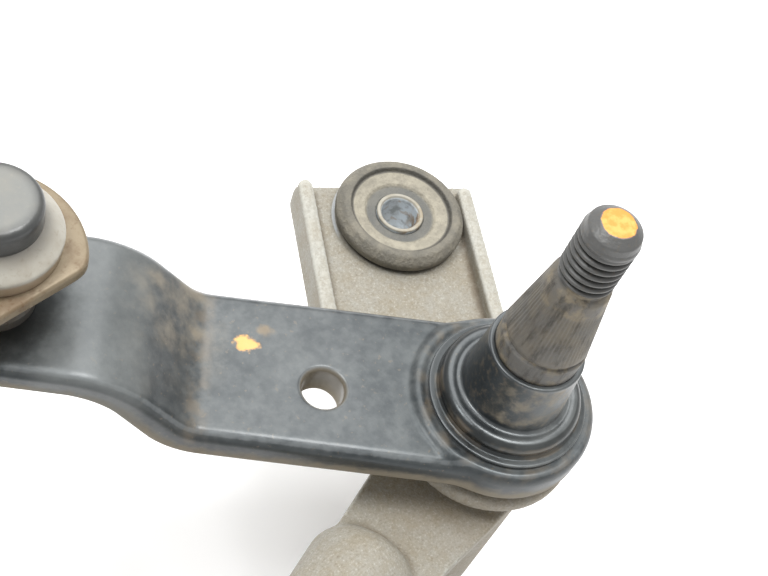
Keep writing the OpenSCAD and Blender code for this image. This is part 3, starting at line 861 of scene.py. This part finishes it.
def spun(name, profile, axis, columns=128):
    """Spins a profile of (radius, height) about the vertical axis through a point."""
    angles = np.linspace(0, 2 * math.pi, columns, endpoint=False)
    circle = np.stack([np.cos(angles), np.sin(angles)], axis=1)
    points = np.zeros((len(profile), columns, 3))
    points[:, :, :2] = profile[:, None, :1] * circle + np.asarray(axis)[:2]
    points[:, :, 2] = profile[:, None, 1]
    row = np.arange(columns)
    following = np.roll(row, -1)
    faces = []
    for level in range(len(profile) - 1):
        low, high = level * columns, (level + 1) * columns
        faces += np.stack([low + row, low + following, high + following, high + row], axis=1).tolist()
    return new_object(name, solid_mesh(name, points.reshape(-1, 3), faces))


print("spinning ready")

# %% Grommets and sleeves
rim_height = 3.8  # the photograph's rim stands lower than the solid's


def spin_grommet(side):
    low, high = span(f"{side}_grommet")
    outer = half_width(f"{side}_grommet")
    axis = (low + high) / 2
    hole = half_width(f"{side}_sleeve")
    waist = hole + 3
    plate, foot = high[2] - rim_in_solid, low[2]
    top = plate + rim_height
    groove = 5 if side != "motor" else 3
    profile = eased([
        (hole, foot), (waist + 1.2, foot, 0.8), (waist + 2.2, plate - groove, 0.4),
        (waist, plate - groove, 0.2), (waist, plate, 0.2), (outer - 1.3, plate, 0.4),
        (outer - 0.25, plate + 0.9, 0.8), (outer, plate + 2.4, 1.2), (outer - 1.3, top, 1.0),
        (outer - 2.5, top - 0.05, 0.5), (outer - 2.8, top - 0.8, 0.25), (outer - 3.3, top - 0.85, 0.3),
        (hole + 2.2, plate + 2.5, 0.6), (hole + 1.7, plate + 2.0, 0.4), (hole + 0.3, plate + 2.0, 0.2),
        (hole, plate + 1.8), (hole, foot),
    ], step=0.5)
    piece = spun(f"{side}_grommet_rubber", profile, axis)
    seat(piece, "frame", grommet_rubber(f"{side}_grommet_rubber", axis), "rubber", f"{side}_grommet")


def spin_sleeve(side):
    low, high = span(f"{side}_sleeve")
    outer = half_width(f"{side}_sleeve")
    bore = mount_bore
    axis = (low + high) / 2
    profile = eased([
        (bore, low[2] + 0.4), (bore + 0.3, low[2], 0.1), (outer, low[2], 0.15), (outer, high[2], 0.25),
        (bore + 0.3, high[2], 0.2), (bore, high[2] - 0.5, 0.2), (bore, low[2] + 0.4)
    ])
    piece = spun(f"{side}_sleeve_turned", profile, axis)
    finish = sleeve_finish(f"{side}_sleeve_steel", axis, high[2])
    seat(piece, "frame", finish, "bright_steel", f"{side}_sleeve")


mount_bore = named(frame["record"]["mounts"], "right_fixing")["dims"]["r_mm"]
for side in ("right", "left", "motor"):
    spin_grommet(side)
    spin_sleeve(side)
print("three grommets and sleeves on", mount_bore * 2, "mm bores")

# %% Collars


def spin_collar(side, pivot):
    low, high = span(f"{side}_collar")
    foot, top = low[2], high[2]
    flange = half_width(f"{side}_collar") + 0.3
    bore, rim, flank_foot = 6.02, 7.1, 7.9
    lip_top = foot + 0.5
    bead_r, bead_height, bead_half = flange - 2.75, foot + 1.75, 1.45
    lip = eased([
        (bore, foot), (flange, foot, 0.1), (flange, lip_top, 0.3), (flange - 1.1, lip_top, 0.4),
        (bead_r + bead_half * 0.85, bead_height - bead_half * 0.53),
    ], step=0.4)
    turns = np.radians(np.linspace(-30, 120, 19))
    bead = np.stack([bead_r + bead_half * np.cos(turns), bead_height + bead_half * np.sin(turns)], axis=1)
    flank = eased([
        bead[-1], (flank_foot, foot + 3.3, 0.5), (rim + 0.1, top - 1.6, 2.0), (rim, top, 0.4),
        (bore + 0.3, top - 0.02, 0.15), (bore, top - 0.3), (bore, foot),
    ], step=0.5)
    piece = spun(f"{side}_collar_spun", np.vstack([lip, bead[1:], flank[1:]]), pivot)
    finish = collar_paint(f"{side}_collar_paint", pivot)
    seat(piece, f"{side}_lever", finish, "black_paint", f"{side}_collar")


for side, pivot in pivots.items():
    spin_collar(side, pivot)
print("collars spun")

# %% [markdown]
# ## Spindles
# A spindle's thread and serrations follow a rule, so Geometry Nodes make it from its plain profile.
# Every point of a grid takes its row's radius and height and its column's angle.
# A saw of the height minus the angle cuts the thread, and a saw of the angle alone cuts the serrations.

# %% Geometry Nodes tree for a spindle


def started_tree(name, kinds):
    """A tree with named inputs: gives its graph, its inputs' wires and the identifiers that set them."""
    tree = bpy.data.node_groups.new(name, "GeometryNodeTree")
    inputs = {}
    for label, kind in kinds.items():
        socket = tree.interface.new_socket(name=label, in_out="INPUT", socket_type=kind)
        inputs[label] = socket.identifier
    tree.interface.new_socket(name="Geometry", in_out="OUTPUT", socket_type="NodeSocketGeometry")
    g = Graph(tree)
    given = tree.nodes.new("NodeGroupInput")
    return g, {label: Wire(g, given.outputs[label]) for label in kinds}, inputs


def ended_tree(g, shape, finish):
    """Ends a tree with its shape as real faces in their finish, and gives the tree."""
    real = g.add("GeometryNodeRealizeInstances", {}, {"Geometry": shape})
    dressed = g.add("GeometryNodeSetMaterial", {}, {"Geometry": real, "Material": finish})
    g.feed(g.tree.nodes.new("NodeGroupOutput").inputs["Geometry"], dressed)
    return g.tree


def spindle_tree():
    sizes = ["Pitch", "Thread Depth", "Thread Start", "Thread End"]
    sizes += ["Teeth", "Tooth Depth", "Teeth Start", "Teeth End"]
    kinds = {"Profile": "NodeSocketGeometry", "Columns": "NodeSocketInt", "Finish": "NodeSocketMaterial"}
    kinds.update({name: "NodeSocketFloat" for name in sizes})
    g, value, inputs = started_tree("spindle_from_profile", kinds)
    rows = g.add("GeometryNodeAttributeDomainSize", {"component": "MESH"}, {0: value["Profile"]})
    grid = g.add("GeometryNodeMeshGrid", {}, {"Vertices X": value["Columns"] + 1, "Vertices Y": rows})
    index = g.add("GeometryNodeInputIndex")
    column = g.math("FLOOR", (index + 0.5) / rows)
    row = index - column * rows
    angle = column / value["Columns"] * (2 * math.pi)
    position = g.add("GeometryNodeInputPosition")
    sampled = {"data_type": "FLOAT_VECTOR", "domain": "POINT"}
    sockets = {"Geometry": value["Profile"], "Value": position, "Index": row}
    corner = g.add("GeometryNodeSampleIndex", sampled, sockets)
    radius = g.add("ShaderNodeSeparateXYZ", {}, {0: corner}, "X")
    height = g.add("ShaderNodeSeparateXYZ", {}, {0: corner}, "Z")

    def saw(phase):
        """0 on a ridge and 1 in the groove beside it."""
        return g.math("ABSOLUTE", g.math("FRACT", phase) * 2 - 1)

    def zone(start, end, soft):
        rising = g.ramp(height, value[start] - soft, value[start] + soft)
        return rising * (1 - g.ramp(height, value[end] - soft, value[end] + soft))

    turns = angle / (2 * math.pi)
    thread = g.ramp(saw(height / value["Pitch"] - turns), 0.15, 0.95)
    thread = thread * zone("Thread Start", "Thread End", 0.4 * MM)
    teeth = saw(turns * value["Teeth"]) * zone("Teeth Start", "Teeth End", 1.0 * MM)
    cut = radius - thread * value["Thread Depth"] - teeth * value["Tooth Depth"]
    sockets = {"X": cut * g.math("COSINE", angle), "Y": cut * g.math("SINE", angle), "Z": height}
    place = g.add("ShaderNodeCombineXYZ", {}, sockets)
    shaped = g.add("GeometryNodeSetPosition", {}, {"Geometry": grid, "Position": place})
    merged = g.add("GeometryNodeMergeByDistance", {}, {"Geometry": shaped, "Distance": 2e-6})
    return ended_tree(g, merged, value["Finish"]), inputs


def grown(name, start, tree, inputs, values):
    """Runs a tree on a starting mesh and keeps the result as a plain mesh."""
    piece = new_object(name, start)
    modifier = piece.modifiers.new(tree.name, "NODES")
    modifier.node_group = tree
    for key, value in values.items():
        modifier[inputs[key]] = value
    made = keep_result(piece, name)
    mend(made, merge=False)
    print(name, len(made.polygons), "faces")
    return piece


spindle_nodes, spindle_inputs = spindle_tree()
print("spindle tree:", len(spindle_nodes.nodes), "nodes")

# %% Spindles with thread and serrations


def polyline(name, points):
    """A row of points in millimetres, joined by edges."""
    mesh = bpy.data.meshes.new(name)
    links = [(k, k + 1) for k in range(len(points) - 1)]
    mesh.from_pydata([tuple(p) for p in np.asarray(points) * MM], links, [])
    return mesh


def grow_spindle(side, pivot):
    low, high = span(f"{side}_spindle")
    rise = high[2] - pivot[2]
    foot = low[2] - pivot[2]
    shank_r, seat_r, lever_base = 5.0, 6.0, -lever_t
    thread_r, thread_start, thread_end = 4.0, rise - 10.6, rise - 2.4
    taper_r, taper_start, base_r, collar_top = 6.1, rise - 25.1, 6.3, rise - 29.1
    tip_r = 2.4
    shank = eased([
        (0, foot), (shank_r - 0.8, foot, 0.2), (shank_r, foot + 0.8, 0.2),
        (shank_r, lever_base), (seat_r, lever_base),
        (seat_r, collar_top), (base_r, collar_top + 0.05), (base_r, taper_start - 0.6, 0.3),
        (taper_r - 0.35, taper_start - 0.3, 0.2), (taper_r, taper_start + 0.5, 0.3),
    ])
    taper = eased([(taper_r, taper_start + 0.5), (thread_r + 0.3, thread_start - 1.8)], step=0.5)
    neck = eased([
        (thread_r + 0.3, thread_start - 1.8), (thread_r - 0.4, thread_start - 1.2, 0.3),
        (thread_r - 0.4, thread_start - 0.6, 0.3), (thread_r, thread_start),
    ], step=0.3)
    thread = eased([(thread_r, thread_start), (thread_r, thread_end)], step=0.09)
    tip = eased([
        (thread_r, thread_end), (thread_r - 0.2, thread_end + 0.4, 0.3), (thread_r - 0.35, rise - 1.0, 0.5),
        (tip_r, rise, 0.3), (0, rise),
    ], step=0.3)
    outline = np.concatenate([shank, taper[1:], neck[1:], thread[1:], tip[1:]])
    profile = np.stack([outline[:, 0], np.zeros(len(outline)), outline[:, 1]], axis=1)
    finish = spindle_finish(f"{side}_spindle_steel", pivot, rise)
    start = polyline(f"{side}_spindle_profile", profile)
    piece = grown(f"{side}_spindle_threaded", start, spindle_nodes, spindle_inputs, {
        "Columns": 240, "Finish": finish, "Pitch": 1.25 * MM, "Thread Depth": 0.6 * MM,
        "Thread Start": thread_start * MM, "Thread End": (thread_end - 0.6) * MM,
        "Teeth": 60.0, "Tooth Depth": 0.14 * MM,
        "Teeth Start": (taper_start + 1.5) * MM, "Teeth End": (thread_start - 4.5) * MM,
    })
    piece.data.transform(Matrix.Translation(Vector(pivot) * MM))
    seat(piece, f"{side}_lever", finish, "dull_steel", f"{side}_spindle")


for side, pivot in pivots.items():
    grow_spindle(side, pivot)

# %% [markdown]
# ## Pressed levers and rods
# A pressing starts as a flat blank with rolled edges and is then bent in a die.
# The code goes the same way: it fills the blank's flat faces with even triangles, rounds its edges and holes
# with rings of points, and moves every point by a bending rule to its place on the pressed shape.

# %% Press a blank


def resampled(loop, step):
    """Spreads points evenly along a closed loop."""
    closed = np.vstack([loop, loop[:1]])
    lengths = np.concatenate([[0], np.cumsum(np.linalg.norm(np.diff(closed, axis=0), axis=1))])
    marks = np.linspace(0, lengths[-1], round(lengths[-1] / step), endpoint=False)
    return np.stack([np.interp(marks, lengths, closed[:, k]) for k in range(2)], axis=1)


def relaxed(loop, passes):
    """Rounds the corners of an even loop a little with each pass."""
    for _ in range(passes):
        loop = (np.roll(loop, 1, axis=0) + np.roll(loop, -1, axis=0) + 2 * loop) / 4
    return loop


def outward(loop):
    """Unit normals that point out of a counter-clockwise loop."""
    ahead = np.roll(loop, -1, axis=0) - np.roll(loop, 1, axis=0)
    normals = np.stack([ahead[:, 1], -ahead[:, 0]], axis=1)
    return normals / np.linalg.norm(normals, axis=1)[:, None]


def arc(middle, radius, start, stop, count=48):
    angles = np.radians(np.linspace(start, stop, count))
    return np.asarray(middle) + radius * np.stack([np.cos(angles), np.sin(angles)], axis=1)


def inside(points, loop):
    """True for each point within a closed loop."""
    x, y = points.T
    found = np.zeros(len(points), bool)
    for (x0, y0), (x1, y1) in zip(loop, np.roll(loop, -1, axis=0)):
        crosses = (y0 > y) != (y1 > y)
        at = x0 + (y - y0) * (x1 - x0) / (y1 - y0 if y1 != y0 else 1)
        found ^= crosses & (x < at)
    return found


def within(points, loops):
    """True for each point inside the first loop and outside the others, its holes."""
    keep = inside(points, loops[0])
    for hole in loops[1:]:
        keep &= ~inside(points, hole)
    return keep


def flat_fill(loops, step):
    """Points, with the loops' own first, and even triangles between an outer loop and its holes."""
    rim = np.vstack(loops)
    low, high = rim.min(axis=0), rim.max(axis=0)
    x, y = np.meshgrid(np.arange(low[0], high[0], step), np.arange(low[1], high[1], step * 0.866))
    x[1::2] += step / 2
    inner = np.stack([x.ravel(), y.ravel()], axis=1)
    inner = inner[within(inner, loops)]
    nearest = np.array([np.min(np.sum((rim - p) ** 2, axis=1)) for p in inner])
    points = np.vstack([rim, inner[nearest > (0.6 * step) ** 2]])
    links, start = [], 0
    for loop in loops:
        links += [(start + k, start + (k + 1) % len(loop)) for k in range(len(loop))]
        start += len(loop)
    made = delaunay_2d_cdt([Vector(p) for p in points], links, [], 1, 1e-7)
    origin = [first[0] for first in made[3]]
    triangles = np.array([[origin[v] for v in face] for face in made[2]])
    middles = points[triangles].mean(axis=1)
    return points, triangles[within(middles, loops)]


def pressed(name, loops, thickness, roll, step, bend, ring_steps=5):
    """A sheet with rolled edges: loops are its outline and holes, roll their edge radii, bend the die."""
    directions = [outward(loops[0])] + [-outward(hole) for hole in loops[1:]]
    flats = [loop - way * r for loop, way, r in zip(loops, directions, roll)]
    points, triangles = flat_fill(flats, step)
    count = len(points)
    half = thickness / 2
    blank = [np.column_stack([points, np.full(count, level)]) for level in (half, -half)]
    faces = triangles.tolist() + (triangles[:, ::-1] + count).tolist()
    marks = [np.zeros(count), -np.ones(count)]
    quarter = np.radians(np.linspace(0, 90, ring_steps))
    total, first = 2 * count, 0
    for loop, way, r in zip(loops, directions, roll):
        size = len(loop)
        rows = [first + np.arange(size)]
        for side, angles in ((1, quarter[1:]), (-1, quarter[:0:-1])):
            for angle in angles:
                level = side * (half - r * (1 - math.cos(angle)))
                ring = loop - way * r * (1 - math.sin(angle))
                blank.append(np.column_stack([ring, np.full(size, level)]))
                # The crown mark peaks where edges rub, which is also where the painted highlight line lies.
                crown = 3.08 * math.sin(angle) * math.cos(angle) ** 3  # 1 at 30 degrees, where edges rub
                # Under the edge the mark falls towards -1, where the paint shows dust and a painted floor
                # reflection.
                mark = crown if side > 0 else -(1 + math.cos(angle)) / 2
                marks.append(np.full(size, mark))
                rows.append(total + np.arange(size))
                total += size
        rows.append(count + first + np.arange(size))
        for upper, lower in zip(rows, rows[1:]):
            faces += np.stack([upper, np.roll(upper, -1), np.roll(lower, -1), lower], axis=1).tolist()
        first += size
    placed = bend(np.vstack(blank))
    mesh = solid_mesh(name, placed, faces, np.concatenate(marks))
    print(name, len(mesh.polygons), "faces")
    return new_object(name, mesh)


print("pressing ready")

# %% [markdown]
# ### Levers
# Each lever is a strap with a raised, grooved head, and a joggle lifts its outer end to the ball.
# The joggle is two bends with a straight slope between them, and the strap thins as it is drawn up it.
# A point's distance along the blank tells its place on the top line and the tilt there, and its depth goes
# down from that line. The left lever has a second arm for the drive rod.

# %% Lever blanks and their die


def soft_step(value):
    """Rises smoothly from 0 to 1 while value goes from 0 to 1."""
    value = np.clip(value, 0, 1)
    return value**2 * (3 - 2 * value)


def head_lift(radius):
    """Height of the head's top over the strap: a step at its edge, with a groove inside it."""
    step = soft_step((head_r + step_out - radius) / step_width)
    groove = soft_step(1 - np.abs(radius - head_r + groove_in) / groove_half)
    return head_rise * step - groove_depth * groove


def joggle_die(start, turn, radii, rise, thicknesses):
    """A rule that bends a blank along its top line: two opposite bends lift its end and thin it."""
    rise_r, fall_r = radii
    thick, thin = thicknesses
    slope_length = (rise - (rise_r + fall_r) * (1 - math.cos(turn))) / math.sin(turn)
    marks = np.cumsum([start, rise_r * turn, slope_length, fall_r * turn])

    def top_line(s):
        first = np.clip(s - marks[0], 0, rise_r * turn) / rise_r
        slope = np.clip(s - marks[1], 0, slope_length)
        second = np.clip(s - marks[2], 0, fall_r * turn) / fall_r
        after = np.maximum(s - marks[3], 0)
        x = np.minimum(s, start) + rise_r * np.sin(first) + slope * math.cos(turn)
        x = x + fall_r * (math.sin(turn) - np.sin(turn - second)) + after
        z = rise_r * (1 - np.cos(first)) + slope * math.sin(turn)
        z = z + fall_r * (np.cos(turn - second) - math.cos(turn))
        return x, z, first - second

    def bend(blank):
        s, y, level = blank.T
        x, z, tilt = top_line(s)
        drawn = np.clip((s - start) / (marks[3] - start), 0, 1)
        depth = (thick / 2 - level) * (1 + drawn * (thin / thick - 1))
        lift = head_lift(np.hypot(s, y)) * (level > 0)
        return np.stack([x + depth * np.sin(tilt), y, z - depth * np.cos(tilt) + lift], axis=1)

    return bend, marks[3] - top_line(marks[3])[0]


def turned_to(points, pivot):
    """Turns points along the lever's direction and moves them to its pivot."""
    x, y, z = points.T
    cos, sin = math.cos(lever_turn), math.sin(lever_turn)
    return np.stack([x * cos - y * sin, x * sin + y * cos, z], axis=1) + pivot


tip_t = 4.7
lever_half, eye_half, drive_half = 12.7, 11.7, 9.5
eye_lean = -0.5
head_rise, step_out, step_width = 0.8, 0.9, 1.5
groove_in, groove_half, groove_depth = 2.0, 1.0, 0.4
joggle_turn = math.radians(45)
bend_radii = (5, 15)
drive_reach = float(np.hypot(*(drive_ball - left_pivot)[:2]))
joggle_rise = span("right_lever")[1][2] - right_pivot[2]
die, stretch = joggle_die(joggle_start, joggle_turn, bend_radii, joggle_rise, (lever_t, tip_t))
eye_along = lever_reach + stretch
print("joggle lifts", round(joggle_rise, 2), "mm, blank is", round(stretch, 2), "mm longer than the lever")

# %% Press the levers
spindle_hole_r, tooling_hole_r, stud_hole_r = 6.02, 3.15, 4.02
outer_roll, hole_roll, tooling_roll = 1.8, 0.1, 0.8


def press_lever(side, pivot, with_drive):
    head_turn = math.degrees(math.asin(lever_half / head_r))
    back = arc((0, 0), head_r, head_turn, 360 - head_turn)
    holes = [
        arc((0, 0), spindle_hole_r, 0, 360), arc(tooling_hole, tooling_hole_r, 0, 360),
        arc((eye_along, 0), stud_hole_r, 0, 360),
    ]
    if with_drive:
        root = math.degrees(math.asin(eye_half / head_r))
        back = np.vstack([
            arc((0, 0), head_r, head_turn, 180 - root, count=24),
            arc((-drive_reach, 0), drive_half, 90, 270),
            arc((0, 0), head_r, 180 + root, 360 - head_turn, count=24),
        ])
        holes.append(arc((-drive_reach, 0), stud_hole_r, 0, 360))
    eye = arc((eye_along, eye_lean), eye_half, -90, 90)
    outline = relaxed(resampled(np.vstack([back, eye]), step=0.5), passes=14)
    loops = [outline] + [resampled(hole, step=0.5) for hole in holes]
    rolls = [outer_roll, hole_roll, tooling_roll] + [hole_roll] * (len(holes) - 2)
    name = f"{side}_lever_pressing"
    piece = pressed(name, loops, lever_t, rolls, step=0.45, ring_steps=8,
                    bend=lambda blank: turned_to(die(blank), pivot))
    seat(piece, f"{side}_lever", lever_finish[side], "black_paint", f"{side}_lever")


for side, pivot in pivots.items():
    press_lever(side, pivot, with_drive=side == "left")

# %% [markdown]
# ### Rods
# The rods are thin strips with gently rounded ends, stiffened by a bead pressed along the middle.
# The bead's height depends only on the distance to the middle line, so the die adds it to both faces.
# At each end sits a ball socket of cream plastic with a grey cap. The caps of the drive rod are lower,
# because they pass under the connecting rod.

# %% Press the rods
rod_t, rod_half, end_r, end_in, socket_hole = 2.0, 9.6, 13.2, 2.0, 6.62
rod_top, bead_outer, bead_inset = 0.9, 4.2, 32.0


def press_rod(name, start, end, body, node):
    length = float(np.linalg.norm(end - start))
    ahead = (end - start) / length
    across = np.array([-ahead[1], ahead[0], 0])
    corner = math.degrees(math.asin(rod_half / end_r))
    outline = np.vstack([
        arc((end_in, 0), end_r, 180 - corner, 180 + corner),
        arc((length - end_in, 0), end_r, -corner, corner),
    ])
    loops = [relaxed(resampled(outline, step=0.8), passes=4)]
    loops += [resampled(arc((x, 0), socket_hole, 0, 360), step=0.6) for x in (0, length)]

    def bead_die(blank):
        x, y, level = blank.T
        off = np.hypot(x - np.clip(x, bead_inset, length - bead_inset), y)
        bead = np.sqrt(np.maximum(bead_outer**2 - off**2, 0)) - rod_t
        bead = np.log1p(np.exp(np.clip(bead * 4, -30, 30))) / 4 * (off < bead_outer + 2)
        z = rod_top - rod_t / 2 + level + np.minimum(bead, bead_outer - rod_t)
        return start + x[:, None] * ahead + y[:, None] * across + z[:, None] * np.array([0, 0, 1])

    piece = pressed(name, loops, rod_t, roll=[0.5, 0.2, 0.2], step=1.2, bend=bead_die, ring_steps=4)
    seat(piece, body, zinc_plate, "zinc_plate", node)


press_rod("connecting_rod_pressing", right_ball, left_ball, "connecting_rod", "connecting_rod")
press_rod("drive_rod_pressing", drive_ball, crank_ball, "drive_rod", "drive_rod")

# %% Ball sockets and caps
ball_joints = {
    "rod_right": (right_ball, "connecting_rod"), "rod_left": (left_ball, "connecting_rod"),
    "drive_lever": (drive_ball, "drive_rod"), "drive_crank": (crank_ball, "drive_rod"),
}
ball_hollow = 5.06
flange_t = 2.6
dome_t = 3.8
stands_taller = {"connecting_rod": 1.2, "drive_rod": 0.0}


def spin_joint(name, ball, body):
    flange = half_width(f"{name}_socket")
    cap = half_width(f"{name}_cap") + 0.25
    lip = span(f"{name}_socket")[0][2]
    lip_r = math.sqrt(ball_hollow**2 - (ball[2] - lip) ** 2)
    seat_z = ball[2] + rod_top
    top = span(f"{name}_cap")[1][2] + stands_taller[body]
    foot = top - dome_t
    roof = max(foot, ball[2] + ball_hollow + 0.2)
    turns = np.radians(range(100, 30, -5))
    hollow = [(ball_hollow * math.sin(turn), ball[2] + ball_hollow * math.cos(turn)) for turn in turns]
    socket = eased([
        (lip_r, lip), (socket_hole - 0.55, lip, 0.2), (socket_hole, seat_z - rod_t - 0.8, 0.2),
        (socket_hole + 0.45, seat_z - rod_t - 0.02, 0.1), (socket_hole - 0.03, seat_z - rod_t, 0.02),
        (socket_hole - 0.03, seat_z + 0.01), (flange - 0.3, seat_z + 0.01, 0.1),
        (flange, seat_z + flange_t, 0.6), (cap + 0.7, foot - 0.7, 1.2),
        (cap - 0.2, foot), (cap - 1.8, foot), hollow[-1],
    ], step=0.4)
    closed = np.vstack([socket, hollow[::-1][1:], [(lip_r, lip)]])
    piece = spun(f"{name}_socket_ring", closed, ball, columns=96)
    finish = socket_plastic(f"{name}_socket_plastic", ball, cap, seat_z + flange_t)
    seat(piece, body, finish, "pale_plastic", f"{name}_socket")
    dome = eased([
        (0, roof), (cap - 2.3, roof), (cap - 2.1, foot + 0.02), (cap - 0.05, foot + 0.02, 0.05),
        (cap, foot + 0.4), (cap, top - 0.1, 2.4), (cap - 2.6, top, 1.0), (0, top),
    ], step=0.4)
    piece = spun(f"{name}_cap_dome", dome, ball, columns=96)
    seat(piece, body, cap_plastic(f"{name}_cap_plastic", ball, cap), "dark_plastic", f"{name}_cap")


for name, (ball, body) in ball_joints.items():
    spin_joint(name, ball, body)
print("ball joints:", list(ball_joints))

# %% [markdown]
# ## Frame tube
# A bent tube follows a path, which is what Geometry Nodes sweep best.
# The path is four points: two ends in the housings and two corners, rounded to the bender's radius.
# A circle swept along it gives the wall.

# %% Sweep the tube


def tube_tree():
    kinds = {"Path": "NodeSocketGeometry", "Radius": "NodeSocketFloat", "Bend Radius": "NodeSocketFloat",
             "Columns": "NodeSocketInt", "Finish": "NodeSocketMaterial"}
    g, value, inputs = started_tree("bent_tube", kinds)
    path = g.add("GeometryNodeMeshToCurve", {}, {0: value["Path"]})
    sockets = {"Curve": path, "Radius": value["Bend Radius"], "Count": 24, "Limit Radius": True}
    bent = g.add("GeometryNodeFilletCurve", {"mode": "POLY"}, sockets)
    sockets = {"Resolution": value["Columns"], "Radius": value["Radius"]}
    circle = g.add("GeometryNodeCurvePrimitiveCircle", {}, sockets)
    wall = g.add("GeometryNodeCurveToMesh", {}, {"Curve": bent, "Profile Curve": circle, "Fill Caps": True})
    return ended_tree(g, wall, value["Finish"]), inputs


tube_low, tube_high = span("frame_tube")
tube_r = (tube_high[2] - tube_low[2]) / 2
tube_z = (tube_high[2] + tube_low[2]) / 2
middle_y = tube_low[1] + tube_r
bend_radius = 80
leg_way = np.array([-24, -7]) / 25
leg_start = tube_high[:2] - tube_r * np.abs(leg_way[::-1])
corner_x = leg_start[0] + (middle_y - leg_start[1]) / leg_way[1] * leg_way[0]
mirror_x = right_pivot[0] + left_pivot[0]
path = [(*leg_start, tube_z), (corner_x, middle_y, tube_z), (mirror_x - corner_x, middle_y, tube_z),
        (mirror_x - leg_start[0], leg_start[1], tube_z)]
tube_nodes, tube_sockets = tube_tree()
tube = grown("frame_tube_bent", polyline("tube_path", path), tube_nodes, tube_sockets, {
    "Radius": tube_r * MM, "Bend Radius": bend_radius * MM, "Columns": 64, "Finish": frame_paint,
})
seat(tube, "frame", frame_paint, "black_paint", "frame_tube")

# %% [markdown]
# ## Small pieces
# Ball studs, washers, circlips, bushes and seals already have their real shape in the solids.
# They only need a finish, which goes into the material slot of the solid's own object.

# %% Finishes for the solids that stay


def dress(node, finish):
    slots = frame["nodes"][node].data.materials
    slots.clear()
    slots.append(finish)


small_finishes = {
    "ball_stud": dull_steel, "lower_washer": bright_steel, "circlip": dull_steel,
    "thrust_washer": washer_plastic, "seal": grommet_rubber("seal_rubber", right_pivot),
    "upper_bush": bronze, "lower_bush": bronze,
}
for side in pivots:
    for kind, finish in small_finishes.items():
        dress(f"{side}_{kind}", finish)
dress("drive_ball_stud", dull_steel)
print("solids that stay are dressed:", 2 * len(small_finishes) + 1)

# %% [markdown]
# ## Size of the solids
# The solids' box is printed in millimetres.

# %% Print the solids' box
print("solids span", [round(v / MM, 1) for v in cad_box[1] - cad_box[0]], "mm")
